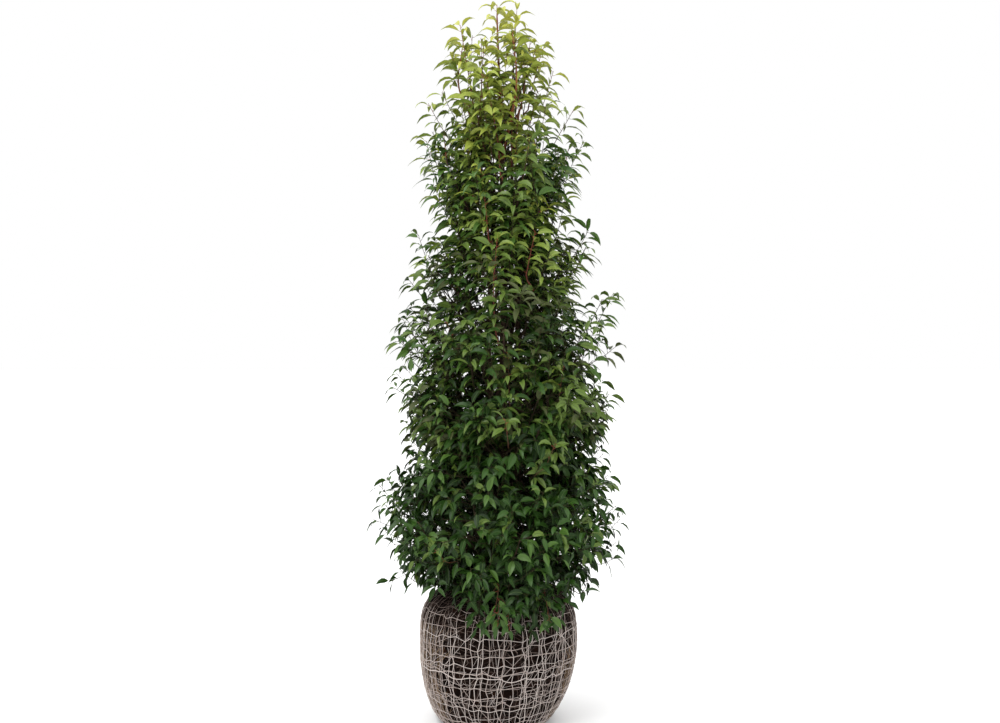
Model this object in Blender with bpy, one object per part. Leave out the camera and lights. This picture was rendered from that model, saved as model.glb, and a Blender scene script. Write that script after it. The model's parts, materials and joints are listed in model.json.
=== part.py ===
"""A columnar Portugal laurel standing on its wrapped root ball.

Metres, +Z up. The origin is on the flat underside of the root ball, under the trunk.
The plant faces -Y. The foliage is a stack of tiers round a hollow core. The trunk and
the upright boughs run up the core, and each mass of leaves is carried by one bough.
"""
import math
import random
from collections import namedtuple

import bmesh
import bpy
from mathutils import Vector

# Root ball
BALL_RADIUS = 0.2705
BALL_HEIGHT = 0.475
BALL_WIDEST_Z = 0.28
BALL_TOP_FLAT = 0.060
FOOT_RADIUS = 0.168
FOOT_SHIFT = -0.016
FOOT_POWER = 0.65
SHOULDER_POWER = 3.6
BALL_SIDES = 30
BALL_LOWER_RINGS = 8
BALL_UPPER_RINGS = 7
BALL_RING_CROWDING = 1.5
BALL_UNEVEN = 0.012
BALL_EVEN_BELOW_Z = 0.08
BALL_WAVE_TWIST = 11.0

# Trunk
TRUNK_TOP_Z = 2.46
TRUNK_RADIUS = 0.024
TRUNK_TIP_RADIUS = 0.0042
TRUNK_TAPER_POWER = 0.85
FLARE_RADIUS = 0.017
FLARE_HEIGHT = 0.035
FLARE_LOBES = 5
FLARE_LOBE_DEPTH = 0.16
TRUNK_SIDES = 10
TRUNK_RINGS = 22
TRUNK_RING_CROWDING = 1.6
LEAN_X = 0.020
LEAN_TIP_BACK = 0.3
LEAN_Y = 0.008
LEAN_Y_HALF_WAVES = 2.3

# Clearances between solids that meet
SEAT_GAP = 0.0003
TIER_GAP = 0.004
SECTOR_GAP = 0.028

# Boughs. The uprights fork low and stand round the core, each in a slot of its own.
# The laterals pass out between them.
UPRIGHT_SIDES = 7
UPRIGHT_RADIUS = 0.0105
UPRIGHT_TIP_RADIUS = 0.0050
UPRIGHT_RING = 0.060
UPRIGHT_SLOTS = (30.0, 90.0, 150.0, 210.0, 270.0, 330.0)
UPRIGHT_TIERS = ("upper", "crown")
UPRIGHTS_PER_TIER = 3
UPRIGHT_LOWEST_Z = 0.585
UPRIGHT_FORK_STEP = 0.018
UPRIGHT_FORK_RISE = 0.16
UPRIGHT_BEND = 0.10
UPRIGHT_CLEAR_OF_CORE = 0.016
UPRIGHT_WANDER = 0.055
UPRIGHT_ENTRY = (0.0, -0.50, -0.35)
LATERAL_SIDES = 6
LATERAL_RADIUS = 0.0075
LATERAL_TIP_RADIUS = 0.0045
LATERAL_RING = 0.068
LATERAL_SLOT_STEP = 60.0
LATERAL_DROP = 0.055
LATERAL_STAGGER = 0.020
LATERAL_STAGGERS = 3
LATERAL_LOWEST_Z = 0.530
LATERAL_ENTRY = (0.0, -0.35, -0.20)

# Foliage masses
MASS_SEGMENTS = 12
MASS_RINGS = 9
MASS_SQUARENESS = 3.6
MASS_UNEVEN = 0.12
DENT_RATES = (3.1, 2.7, 4.3, 3.7)
CUTTER_GROWTH = 0.003
TIER_WAVE = 0.022
TIER_WAVES_ROUND = 3
TIER_WAVE_TURN = 1.9
SECTOR_WAVE = 0.10
SECTOR_WAVE_RATE = 9.0
SKIRT_SLOPE = -0.35
CROWN_SLOPE = 0.35
SLOPE_FROM_Z = 0.50
SLOPE_TO_Z = 1.00
SLOPE_RADIUS = 0.10

# The radius of the crown against height
CROWN_PROFILE = (
    (0.40, 0.385),
    (0.66, 0.462),
    (0.98, 0.372),
    (1.20, 0.410),
    (1.45, 0.375),
    (1.75, 0.290),
    (2.00, 0.312),
    (2.25, 0.215),
    (2.45, 0.130),
)

# Each tier has its lowest height, its core radius, its first mass's azimuth in degrees,
# and each mass's reach as a share of the profile. Azimuth 0 is +X, and 270 is the front.
Tier = namedtuple("Tier", "name low core first reaches")
TIERS = (
    Tier("skirt", 0.510, 0.095, 340.0, (1.01, 0.98, 0.95, 1.02, 0.97, 0.95)),
    Tier("lower", 0.800, 0.095, 6.0, (1.04, 0.99, 0.99, 0.97, 0.98)),
    Tier("middle", 1.060, 0.095, 342.0, (1.03, 0.97, 1.03, 1.04, 0.97)),
    Tier("waist", 1.350, 0.092, 352.0, (1.10, 0.98, 1.00, 0.98)),
    Tier("upper", 1.660, 0.078, 20.0, (1.17, 0.98, 0.97, 1.00)),
    Tier("crown", 2.010, 0.056, 55.0, (1.10, 1.05, 1.00)),
)
CROWN_TOP_Z = 2.330
# How far a crown mass rises above the top of its tier
PEAK = {"foliage_crown_1": 0.010, "foliage_crown_2": 0.085, "foliage_crown_3": 0.080}

# The front of the skirt hangs down over the ball
HANG_DEPTH = 0.070
HANG_AZIMUTH = 280.0
HANG_SPREAD = 34.0
HANG_FROM = 0.285
HANG_TO = 0.370
HANG_NONE_ABOVE = 0.6
HANG_FULL_BELOW = -0.4

# The leader's tuft stands in the core of the crown, and widens above it
TUFT_LOW_Z = 2.150
TUFT_HIGH_Z = 2.550
TUFT_CORE_RADIUS = 0.040
TUFT_RADIUS = 0.070
TUFT_OPEN_Z = 2.430

LEAF_GREEN = (0.045, 0.105, 0.022, 1.0)
YOUNG_GREEN = (0.180, 0.260, 0.050, 1.0)
BARK_BROWN = (0.075, 0.045, 0.030, 1.0)
SOIL_BROWN = (0.110, 0.090, 0.080, 1.0)
LEAF_ROUGHNESS = 0.5
BARK_ROUGHNESS = 0.8
SOIL_ROUGHNESS = 0.95


def clear_scene():
    for old in list(bpy.data.objects):
        bpy.data.objects.remove(old)


def make_material(name, colour, roughness):
    made = bpy.data.materials.new(name)
    made.use_nodes = True
    shader = made.node_tree.nodes["Principled BSDF"]
    shader.inputs["Base Color"].default_value = colour
    shader.inputs["Roughness"].default_value = roughness
    shader.inputs["Metallic"].default_value = 0.0
    return made


def lerp(low, high, share):
    return low + (high - low) * share


def smooth_step(low, high, value):
    share = min(1.0, max(0.0, (value - low) / (high - low)))
    return share * share * (3.0 - 2.0 * share)


def apart(angle, other):
    """The angle between two azimuths, in radians, whichever way round is shorter."""
    turn = abs(angle - other) % (2.0 * math.pi)
    return min(turn, 2.0 * math.pi - turn)


def lean(z):
    """How far the trunk's line stands off the origin at a height."""
    rise = min(1.0, max(0.0, (z - BALL_HEIGHT) / (TRUNK_TOP_Z - BALL_HEIGHT)))
    x = LEAN_X * (math.sin(math.pi * rise) - LEAN_TIP_BACK * rise)
    y = LEAN_Y * math.sin(LEAN_Y_HALF_WAVES * math.pi * rise)
    return Vector((x, y, 0.0))


def polar(radius, azimuth, z):
    """A point at a radius and an azimuth, in radians, round the trunk's line."""
    around = Vector((radius * math.cos(azimuth), radius * math.sin(azimuth), z))
    return around + lean(z)


def link(mesh, name, material):
    mesh.materials.append(material)
    mesh.shade_smooth()
    made = bpy.data.objects.new(name, mesh)
    bpy.context.scene.collection.objects.link(made)
    return made


def link_cutter(mesh, name, material):
    made = link(mesh, name, material)
    made.hide_render = True
    made.display_type = "WIRE"
    return made


def cut_by(target, cutters):
    for cutter in cutters:
        cut = target.modifiers.new("seat", "BOOLEAN")
        cut.operation = "DIFFERENCE"
        cut.solver = "EXACT"
        cut.object = cutter


def rings_to_mesh(name, rings):
    """A closed mesh from rings of points, each ring joined to the next, with flat ends."""
    built = bmesh.new()
    loops = [[built.verts.new(point) for point in ring] for ring in rings]
    sides = len(loops[0])
    for lower, upper in zip(loops, loops[1:]):
        for i in range(sides):
            j = (i + 1) % sides
            built.faces.new((lower[i], lower[j], upper[j], upper[i]))
    built.faces.new(list(reversed(loops[0])))
    built.faces.new(loops[-1])
    bmesh.ops.recalc_face_normals(built, faces=built.faces)
    mesh = bpy.data.meshes.new(name)
    built.to_mesh(mesh)
    built.free()
    return mesh


def ball_ring(z, radius, shift, uneven):
    points = []
    for i in range(BALL_SIDES):
        angle = 2.0 * math.pi * i / BALL_SIDES
        wave = math.sin(2.0 * angle) + 0.7 * math.sin(3.0 * angle + BALL_WAVE_TWIST * z)
        out = radius * (1.0 + uneven * wave)
        points.append((shift + out * math.cos(angle), out * math.sin(angle), z))
    return points


def root_ball():
    """A barrel of soil, with a flat foot, full sides and a broad low dome on top."""
    rings = []
    for i in range(BALL_LOWER_RINGS):
        rise = (i / BALL_LOWER_RINGS) ** BALL_RING_CROWDING
        swell = (1.0 - (1.0 - rise) ** 2) ** FOOT_POWER
        radius = lerp(FOOT_RADIUS, BALL_RADIUS, swell)
        z = BALL_WIDEST_Z * rise
        uneven = BALL_UNEVEN * smooth_step(0.0, BALL_EVEN_BELOW_Z, z)
        rings.append(ball_ring(z, radius, FOOT_SHIFT * (1.0 - rise), uneven))
    last_rise = (1.0 - (BALL_TOP_FLAT / BALL_RADIUS) ** SHOULDER_POWER) ** (1.0 / SHOULDER_POWER)
    for i in range(BALL_UPPER_RINGS + 1):
        share = i / BALL_UPPER_RINGS
        rise = last_rise * math.sin(0.5 * math.pi * share)
        radius = BALL_RADIUS * (1.0 - rise**SHOULDER_POWER) ** (1.0 / SHOULDER_POWER)
        z = lerp(BALL_WIDEST_Z, BALL_HEIGHT, rise)
        rings.append(ball_ring(z, radius, 0.0, BALL_UNEVEN * (1.0 - share)))
    top_z = rings[-1][0][2]
    return rings_to_mesh("root_ball", rings), top_z


def trunk_mesh(name, foot_z, grow):
    """The trunk, from its flat cut on the ball up into the leader's tuft, made grow wider."""
    rings = []
    for i in range(TRUNK_RINGS + 1):
        z = lerp(foot_z, TRUNK_TOP_Z, (i / TRUNK_RINGS) ** TRUNK_RING_CROWDING)
        rise = (z - foot_z) / (TRUNK_TOP_Z - foot_z)
        flare = math.exp(-(z - foot_z) / FLARE_HEIGHT)
        plain = lerp(TRUNK_RADIUS, TRUNK_TIP_RADIUS, rise**TRUNK_TAPER_POWER) + FLARE_RADIUS * flare
        ring = []
        for k in range(TRUNK_SIDES):
            angle = 2.0 * math.pi * k / TRUNK_SIDES
            lobe = 1.0 + FLARE_LOBE_DEPTH * flare * math.cos(FLARE_LOBES * angle)
            ring.append(polar(plain * lobe + grow, angle, z))
        rings.append(ring)
    return rings_to_mesh(name, rings)


def smooth_path(knots, steps):
    """Points on a smooth curve that passes through the knots."""
    ends = [knots[0] * 2.0 - knots[1]] + list(knots) + [knots[-1] * 2.0 - knots[-2]]
    points = []
    for a, b, c, d in zip(ends, ends[1:], ends[2:], ends[3:]):
        for i in range(steps):
            t = i / steps
            square = (2.0 * a - 5.0 * b + 4.0 * c - d) * t * t
            cube = (3.0 * b - a - 3.0 * c + d) * t**3
            points.append(0.5 * (2.0 * b + (c - a) * t + square + cube))
    points.append(Vector(knots[-1]))
    return points


def tapering_tube(name, path, sides, start_radius, end_radius):
    """A round limb along a path, with flat ends, from one radius to another."""
    rings = []
    side = (path[1] - path[0]).orthogonal().normalized()
    for i, point in enumerate(path):
        ahead = path[min(i + 1, len(path) - 1)] - path[max(i - 1, 0)]
        forward = ahead.normalized()
        side = (side - forward * side.dot(forward)).normalized()
        other = forward.cross(side)
        radius = lerp(start_radius, end_radius, i / (len(path) - 1))
        ring = []
        for k in range(sides):
            angle = 2.0 * math.pi * k / sides
            ring.append(point + (side * math.cos(angle) + other * math.sin(angle)) * radius)
        rings.append(ring)
    return rings_to_mesh(name, rings)


def crown_radius(z):
    for (low_z, low_radius), (high_z, high_radius) in zip(CROWN_PROFILE, CROWN_PROFILE[1:]):
        if z < high_z:
            return lerp(low_radius, high_radius, max(0.0, (z - low_z) / (high_z - low_z)))
    return CROWN_PROFILE[-1][1]


def slope_at(z):
    """Lower foliage falls away outwards, and the rest rises outwards."""
    return lerp(SKIRT_SLOPE, CROWN_SLOPE, smooth_step(SLOPE_FROM_Z, SLOPE_TO_Z, z))


def tier_edge(level, azimuth):
    """The height, before the slope, of the uneven surface under a tier at an azimuth."""
    if level == len(TIERS):
        return CROWN_TOP_Z
    if level == 0:
        return TIERS[0].low
    wave = math.sin(TIER_WAVES_ROUND * azimuth + TIER_WAVE_TURN * level)
    return TIERS[level].low + TIER_WAVE * wave


def unit_lump(direction, phases):
    """How far out the surface of a dented, rounded box of half size 1 is, in a direction."""
    x, y, z = direction
    size = abs(x) ** MASS_SQUARENESS + abs(y) ** MASS_SQUARENESS + abs(z) ** MASS_SQUARENESS
    box = 1.0 / size ** (1.0 / MASS_SQUARENESS)
    a, b, c, d = DENT_RATES
    dents = math.sin(a * x + phases[0]) * math.sin(b * y + phases[1])
    dents += math.sin(c * z + phases[2]) * math.sin(d * x - phases[1])
    return box * (1.0 - MASS_UNEVEN * (0.5 - 0.25 * dents))


def mass_mesh(name, place, seed, growth=0.0):
    """A closed lump of foliage, with place putting each point of a unit lump in the crown."""
    draw = random.Random(seed)
    phases = [draw.uniform(0.0, 2.0 * math.pi) for _ in range(3)]
    built = bmesh.new()
    bmesh.ops.create_uvsphere(built, u_segments=MASS_SEGMENTS, v_segments=MASS_RINGS, radius=1.0)
    for vert in built.verts:
        direction = vert.co.normalized()
        vert.co = place(direction * (unit_lump(direction, phases) * (1.0 + growth)))
    bmesh.ops.triangulate(built, faces=built.faces)
    bmesh.ops.recalc_face_normals(built, faces=built.faces)
    mesh = bpy.data.meshes.new(name)
    built.to_mesh(mesh)
    built.free()
    return mesh


def sector_place(name, level, azimuth, reach):
    """The function that puts a unit lump in its share of a tier, from the core outwards."""
    tier = TIERS[level]
    half_width = math.pi / len(tier.reaches) - SECTOR_GAP

    def place(unit):
        angle = azimuth + unit.x * half_width
        low = tier_edge(level, angle) + TIER_GAP
        high = tier_edge(level + 1, angle) - TIER_GAP
        flat_z = lerp(low, high, 0.5 + 0.5 * unit.z)
        slope = slope_at(flat_z)
        peak = PEAK.get(name, 0.0) * smooth_step(0.0, 1.0, unit.z)
        outer_z = flat_z + peak + slope * (crown_radius(flat_z) - SLOPE_RADIUS)
        radius = lerp(tier.core, reach * crown_radius(outer_z), 0.5 + 0.5 * unit.y)
        angle += SECTOR_WAVE * math.sin(SECTOR_WAVE_RATE * (flat_z - tier.low) + level)
        z = flat_z + peak + slope * (radius - SLOPE_RADIUS)
        if level == 0:
            aside = math.degrees(apart(angle, math.radians(HANG_AZIMUTH)))
            share = smooth_step(HANG_SPREAD, 0.0, aside) * smooth_step(HANG_FROM, HANG_TO, radius)
            z -= HANG_DEPTH * share * smooth_step(HANG_NONE_ABOVE, HANG_FULL_BELOW, unit.z)
        return polar(radius, angle, z)

    return place


def tuft_place(unit):
    """Puts a unit lump round the leader's tip."""
    z = lerp(TUFT_LOW_Z, TUFT_HIGH_Z, 0.5 + 0.5 * unit.z)
    radius = lerp(TUFT_CORE_RADIUS, TUFT_RADIUS, smooth_step(TUFT_LOW_Z, TUFT_OPEN_Z, z))
    return Vector((unit.x * radius, unit.y * radius, z)) + lean(z)


def upright_path(slot, start_z, tier, into):
    """A bough that forks low from the trunk, runs up the core and bends out into its mass."""
    bend_z = tier.low - UPRIGHT_BEND
    last_ring = min(UPRIGHT_RING, tier.core - UPRIGHT_CLEAR_OF_CORE)
    knots = [polar(0.0, slot, start_z)]
    knots.append(polar(0.6 * UPRIGHT_RING, slot, start_z + 0.4 * UPRIGHT_FORK_RISE))
    knots.append(polar(UPRIGHT_RING, slot, start_z + UPRIGHT_FORK_RISE))
    knots.append(polar(UPRIGHT_RING, slot + UPRIGHT_WANDER, lerp(start_z, bend_z, 0.45)))
    knots.append(polar(0.9 * UPRIGHT_RING, slot - UPRIGHT_WANDER, lerp(start_z, bend_z, 0.75)))
    knots.append(polar(last_ring, slot, bend_z))
    knots.append(into)
    return smooth_path(knots, 2)


def lateral_path(slot, start_z, into):
    """A bough that leaves the trunk under its mass and passes out between the uprights."""
    knots = [polar(0.0, slot, start_z)]
    knots.append(polar(LATERAL_RING, slot, start_z + LATERAL_DROP))
    knots.append(into)
    return smooth_path(knots, 3)


def upright(name, tier, azimuth, free_slots, place):
    slot = min(free_slots, key=lambda free: apart(free, azimuth))
    free_slots.remove(slot)
    start_z = UPRIGHT_LOWEST_Z + UPRIGHT_FORK_STEP * len(free_slots)
    path = upright_path(slot, start_z, tier, place(Vector(UPRIGHT_ENTRY)))
    return tapering_tube(name, path, UPRIGHT_SIDES, UPRIGHT_RADIUS, UPRIGHT_TIP_RADIUS)


def lateral(name, tier, azimuth, order, place):
    slot = math.radians(LATERAL_SLOT_STEP * round(math.degrees(azimuth) / LATERAL_SLOT_STEP))
    start_z = max(tier.low - LATERAL_DROP, LATERAL_LOWEST_Z)
    start_z += LATERAL_STAGGER * (order % LATERAL_STAGGERS)
    path = lateral_path(slot, start_z, place(Vector(LATERAL_ENTRY)))
    return tapering_tube(name, path, LATERAL_SIDES, LATERAL_RADIUS, LATERAL_TIP_RADIUS)


def build():
    clear_scene()
    leaf = make_material("leaf", LEAF_GREEN, LEAF_ROUGHNESS)
    young = make_material("young_leaf", YOUNG_GREEN, LEAF_ROUGHNESS)
    bark = make_material("bark", BARK_BROWN, BARK_ROUGHNESS)
    soil = make_material("wrapped_soil", SOIL_BROWN, SOIL_ROUGHNESS)

    ball, ball_top_z = root_ball()
    link(ball, "root_ball", soil)
    foot_z = ball_top_z + SEAT_GAP
    link(trunk_mesh("trunk", foot_z, 0.0), "trunk", bark)
    trunk_cutter = link_cutter(trunk_mesh("trunk_cutter", foot_z, SEAT_GAP), "trunk_cutter", bark)

    seed = 0
    free_slots = [math.radians(slot) for slot in UPRIGHT_SLOTS]
    for level, tier in enumerate(TIERS):
        for order, reach in enumerate(tier.reaches):
            seed += 1
            label = f"{tier.name}_{order + 1}"
            mass_name = "foliage_" + label
            azimuth = math.radians(tier.first) + 2.0 * math.pi * order / len(tier.reaches)
            place = sector_place(mass_name, level, azimuth, reach)
            green = young if tier.name == "crown" else leaf
            link(mass_mesh(mass_name, place, seed), mass_name, green)
            cutter_name = mass_name + "_cutter"
            grown = mass_mesh(cutter_name, place, seed, CUTTER_GROWTH)
            cutter = link_cutter(grown, cutter_name, green)

            bough_name = "bough_" + label
            if tier.name in UPRIGHT_TIERS and order < UPRIGHTS_PER_TIER:
                limb = upright(bough_name, tier, azimuth, free_slots, place)
            else:
                limb = lateral(bough_name, tier, azimuth, order, place)
            cut_by(link(limb, bough_name, bark), (trunk_cutter, cutter))

    tuft_name = "foliage_leader_tuft"
    tuft = link(mass_mesh(tuft_name, tuft_place, seed + 1), tuft_name, young)
    cut_by(tuft, (trunk_cutter,))


build()
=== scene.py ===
"""The looks of the laurel: bark, twigs, leaves, soil and jute net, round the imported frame.

Metres, +Z up. The plant faces -Y. The limbs and the masses follow the frame's own
formulas, and every twig grows on from a limb that is already there.
"""
import json
import math
import random
from collections import namedtuple

import bpy
import numpy as np
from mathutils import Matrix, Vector, noise

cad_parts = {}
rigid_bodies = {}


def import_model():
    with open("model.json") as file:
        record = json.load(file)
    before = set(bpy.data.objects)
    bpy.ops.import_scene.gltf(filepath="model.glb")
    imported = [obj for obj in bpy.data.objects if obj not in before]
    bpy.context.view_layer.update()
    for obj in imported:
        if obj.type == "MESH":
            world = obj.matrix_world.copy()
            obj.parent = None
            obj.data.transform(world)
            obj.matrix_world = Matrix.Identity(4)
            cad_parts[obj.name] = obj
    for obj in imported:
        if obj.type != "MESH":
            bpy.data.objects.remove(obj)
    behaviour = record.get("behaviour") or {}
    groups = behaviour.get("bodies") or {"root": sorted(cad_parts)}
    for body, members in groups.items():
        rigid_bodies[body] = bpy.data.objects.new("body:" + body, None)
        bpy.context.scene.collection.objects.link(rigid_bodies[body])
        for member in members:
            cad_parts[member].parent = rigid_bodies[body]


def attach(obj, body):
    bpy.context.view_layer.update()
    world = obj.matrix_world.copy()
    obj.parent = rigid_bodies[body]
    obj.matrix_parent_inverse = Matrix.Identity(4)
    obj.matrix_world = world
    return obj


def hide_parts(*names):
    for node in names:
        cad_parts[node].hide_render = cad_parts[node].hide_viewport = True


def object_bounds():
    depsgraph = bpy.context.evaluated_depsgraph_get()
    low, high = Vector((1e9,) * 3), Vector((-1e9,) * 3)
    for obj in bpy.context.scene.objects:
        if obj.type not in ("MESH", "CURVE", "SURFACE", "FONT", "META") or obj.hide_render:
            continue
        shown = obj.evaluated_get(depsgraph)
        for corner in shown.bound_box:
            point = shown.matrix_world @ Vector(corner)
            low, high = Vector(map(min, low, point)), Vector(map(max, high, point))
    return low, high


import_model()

PLANT_SEED, LEAF_SEED, NET_SEED = 20261, 77, 515
CAD_LOW, CAD_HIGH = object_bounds()

# The frame's own measures
BALL_RADIUS = 0.2705
BALL_HEIGHT = 0.475
BALL_WIDEST_Z = 0.28
BALL_TOP_FLAT = 0.060
FOOT_RADIUS = 0.168
FOOT_SHIFT = -0.016
FOOT_POWER = 0.65
SHOULDER_POWER = 3.6
BALL_UNEVEN = 0.012
BALL_EVEN_BELOW_Z = 0.08
BALL_SECOND_WAVE, BALL_WAVE_TWIST = 0.7, 11.0

TRUNK_TOP_Z = 2.46
TRUNK_RADIUS = 0.024
TRUNK_TIP_RADIUS = 0.0026
TRUNK_TAPER_POWER = 0.85
FLARE_RADIUS = 0.017
FLARE_HEIGHT = 0.035
FLARE_LOBES = 5
FLARE_LOBE_DEPTH = 0.16
LEAN_X = 0.020
LEAN_TIP_BACK = 0.3
LEAN_Y = 0.008
LEAN_Y_HALF_WAVES = 2.3

UPRIGHT_RADIUS = 0.0105
UPRIGHT_TIP_RADIUS = 0.0050
UPRIGHT_RING = 0.060
UPRIGHT_SLOTS = (30.0, 90.0, 150.0, 210.0, 270.0, 330.0)
UPRIGHT_TIERS = ("upper", "crown")
UPRIGHTS_PER_TIER = 3
UPRIGHT_LOWEST_Z = 0.585
UPRIGHT_FORK_STEP = 0.018
UPRIGHT_FORK_RISE = 0.16
UPRIGHT_BEND = 0.10
UPRIGHT_CLEAR_OF_CORE = 0.016
UPRIGHT_WANDER = 0.055
UPRIGHT_ENTRY = (0.0, -0.50, -0.35)
LATERAL_RADIUS = 0.0075
LATERAL_TIP_RADIUS = 0.0045
LATERAL_RING = 0.068
LATERAL_SLOT_STEP = 60.0
LATERAL_DROP = 0.055
LATERAL_STAGGER = 0.020
LATERAL_STAGGERS = 3
LATERAL_LOWEST_Z = 0.530
LATERAL_ENTRY = (0.0, -0.35, -0.20)

TIER_GAP = 0.004
SECTOR_GAP = 0.028
TIER_WAVE = 0.022
TIER_WAVES_ROUND = 3
TIER_WAVE_TURN = 1.9
SKIRT_SLOPE = -0.35
CROWN_SLOPE = 0.35
SLOPE_FROM_Z = 0.50
SLOPE_TO_Z = 1.00
SLOPE_RADIUS = 0.10
CROWN_PROFILE = (
    (0.40, 0.385), (0.66, 0.462), (0.98, 0.372), (1.20, 0.410), (1.45, 0.375),
    (1.75, 0.290), (2.00, 0.312), (2.25, 0.215), (2.45, 0.130),
)
# Each tier's name, lowest height, core radius, first mass's azimuth, reaches of its masses
TIERS = (
    ("skirt", 0.510, 0.095, 340.0, (1.01, 0.98, 0.95, 1.02, 0.97, 0.95)),
    ("lower", 0.800, 0.095, 6.0, (1.04, 0.99, 0.99, 0.97, 0.98)),
    ("middle", 1.060, 0.095, 342.0, (1.03, 0.97, 1.03, 1.04, 0.97)),
    ("waist", 1.350, 0.092, 352.0, (1.10, 0.98, 1.00, 0.98)),
    ("upper", 1.660, 0.078, 20.0, (1.17, 0.98, 0.97, 1.00)),
    ("crown", 2.010, 0.056, 55.0, (1.10, 1.05, 1.00)),
)
TIER_NAMES = [tier[0] for tier in TIERS]
UPPER_LEVEL, CROWN_LEVEL = 4, 5
CROWN_TOP_Z = 2.330
PEAK = {"crown_1": 0.010, "crown_2": 0.085, "crown_3": 0.080}
HANG_DEPTH = 0.070
HANG_AZIMUTH = 280.0
HANG_SPREAD = 34.0
HANG_FROM = 0.285
HANG_TO = 0.370
HANG_NONE_ABOVE = 0.6
HANG_FULL_BELOW = -0.4
TUFT_LOW_Z = 2.150

UP = np.array((0.0, 0.0, 1.0))
DOWN = -UP
FULL_TURN = 2.0 * math.pi
GOLDEN_ANGLE = math.radians(137.5)


# Small sums
def lerp(low, high, share):
    return low + (high - low) * share


def fade(start, end, value):
    """A smooth rise from 0 at start to 1 at end, which may be the lower of the two."""
    share = min(1.0, max(0.0, (value - start) / (end - start)))
    return share * share * (3.0 - 2.0 * share)


def unit(v):
    v = np.asarray(v, float)
    return v / np.maximum(np.linalg.norm(v, axis=-1, keepdims=True), 1e-9)


def apart(angle, other):
    turn = abs(angle - other) % FULL_TURN
    return min(turn, FULL_TURN - turn)


def lengths_along(path):
    """How far along a path each of its points lies."""
    return np.concatenate(([0.0], np.cumsum(np.linalg.norm(np.diff(path, axis=0), axis=1))))


def points_at(path, lengths, at):
    """The points, or rows of numbers, at some lengths along a path."""
    return np.stack([np.interp(at, lengths, path[:, k]) for k in range(path.shape[1])], -1)


def smooth_curve(knots, steps):
    """Points or numbers on a smooth curve through the knots, with steps for each gap."""
    knots = np.asarray(knots, float)
    at = np.linspace(0.0, len(knots) - 1.0, (len(knots) - 1) * steps + 1)
    low = np.clip(at.astype(int), 0, len(knots) - 2)
    t = (at - low).reshape([-1] + [1] * (knots.ndim - 1))
    padded = np.concatenate(([2 * knots[0] - knots[1]], knots, [2 * knots[-1] - knots[-2]]))
    a, b, c, d = (padded[low + i] for i in range(4))
    square, cube = 2 * a - 5 * b + 4 * c - d, 3 * b - a - 3 * c + d
    return 0.5 * (2 * b + (c - a) * t + square * t**2 + cube * t**3)


def hermite(a, way_a, b, way_b, count):
    """Points on a curve from a to b that leaves along way_a and arrives along way_b."""
    t = np.linspace(0.0, 1.0, count)[:, None]
    leaving = (2 * t**3 - 3 * t**2 + 1) * a + (t**3 - 2 * t**2 + t) * way_a
    return leaving + (-2 * t**3 + 3 * t**2) * b + (t**3 - t**2) * way_b


# The frame's formulas
def lean(z):
    rise = min(1.0, max(0.0, (z - BALL_HEIGHT) / (TRUNK_TOP_Z - BALL_HEIGHT)))
    x = LEAN_X * (math.sin(math.pi * rise) - LEAN_TIP_BACK * rise)
    y = LEAN_Y * math.sin(LEAN_Y_HALF_WAVES * math.pi * rise)
    return np.array((x, y, 0.0))


def polar(radius, azimuth, z):
    return np.array((radius * math.cos(azimuth), radius * math.sin(azimuth), z)) + lean(z)


def crown_radius(z):
    heights, radii = zip(*CROWN_PROFILE)
    return float(np.interp(z, heights, radii))


def slope_at(z):
    return lerp(SKIRT_SLOPE, CROWN_SLOPE, fade(SLOPE_FROM_Z, SLOPE_TO_Z, z))


def tier_edge(level, azimuth):
    if level == len(TIERS):
        return CROWN_TOP_Z
    if level == 0:
        return TIERS[0][1]
    return TIERS[level][1] + TIER_WAVE * math.sin(TIER_WAVES_ROUND * azimuth + TIER_WAVE_TURN * level)


def sector_place(label, level, azimuth, reach):
    """The function that puts a point of a unit cube in its share of a tier."""
    core, count = TIERS[level][2], len(TIERS[level][4])
    half_width = math.pi / count - SECTOR_GAP

    def place(x, y, z):
        angle = azimuth + x * half_width
        low = tier_edge(level, angle) + TIER_GAP
        high = tier_edge(level + 1, angle) - TIER_GAP
        flat_z = lerp(low, high, 0.5 + 0.5 * z)
        slope = slope_at(flat_z)
        peak = PEAK.get(label, 0.0) * fade(0.0, 1.0, z)
        outer_z = flat_z + peak + slope * (crown_radius(flat_z) - SLOPE_RADIUS)
        radius = lerp(core, reach * crown_radius(outer_z), 0.5 + 0.5 * y)
        high_z = flat_z + peak + slope * (radius - SLOPE_RADIUS)
        if level == 0:
            aside = math.degrees(apart(angle, math.radians(HANG_AZIMUTH)))
            share = fade(HANG_SPREAD, 0.0, aside) * fade(HANG_FROM, HANG_TO, radius)
            high_z -= HANG_DEPTH * share * fade(HANG_NONE_ABOVE, HANG_FULL_BELOW, z)
        return polar(radius, angle, high_z)

    return place


def upright_knots(slot, start_z, low, core, into):
    bend_z = low - UPRIGHT_BEND
    last_ring = min(UPRIGHT_RING, core - UPRIGHT_CLEAR_OF_CORE)
    return [
        polar(0.0, slot, start_z),
        polar(0.6 * UPRIGHT_RING, slot, start_z + 0.4 * UPRIGHT_FORK_RISE),
        polar(UPRIGHT_RING, slot, start_z + UPRIGHT_FORK_RISE),
        polar(UPRIGHT_RING, slot + UPRIGHT_WANDER, lerp(start_z, bend_z, 0.45)),
        polar(0.9 * UPRIGHT_RING, slot - UPRIGHT_WANDER, lerp(start_z, bend_z, 0.75)),
        polar(last_ring, slot, bend_z),
        into,
    ]


def lateral_knots(slot, order, low, into):
    start_z = max(low - LATERAL_DROP, LATERAL_LOWEST_Z) + LATERAL_STAGGER * (order % LATERAL_STAGGERS)
    return [polar(0.0, slot, start_z), polar(LATERAL_RING, slot, start_z + LATERAL_DROP), into]


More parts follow.
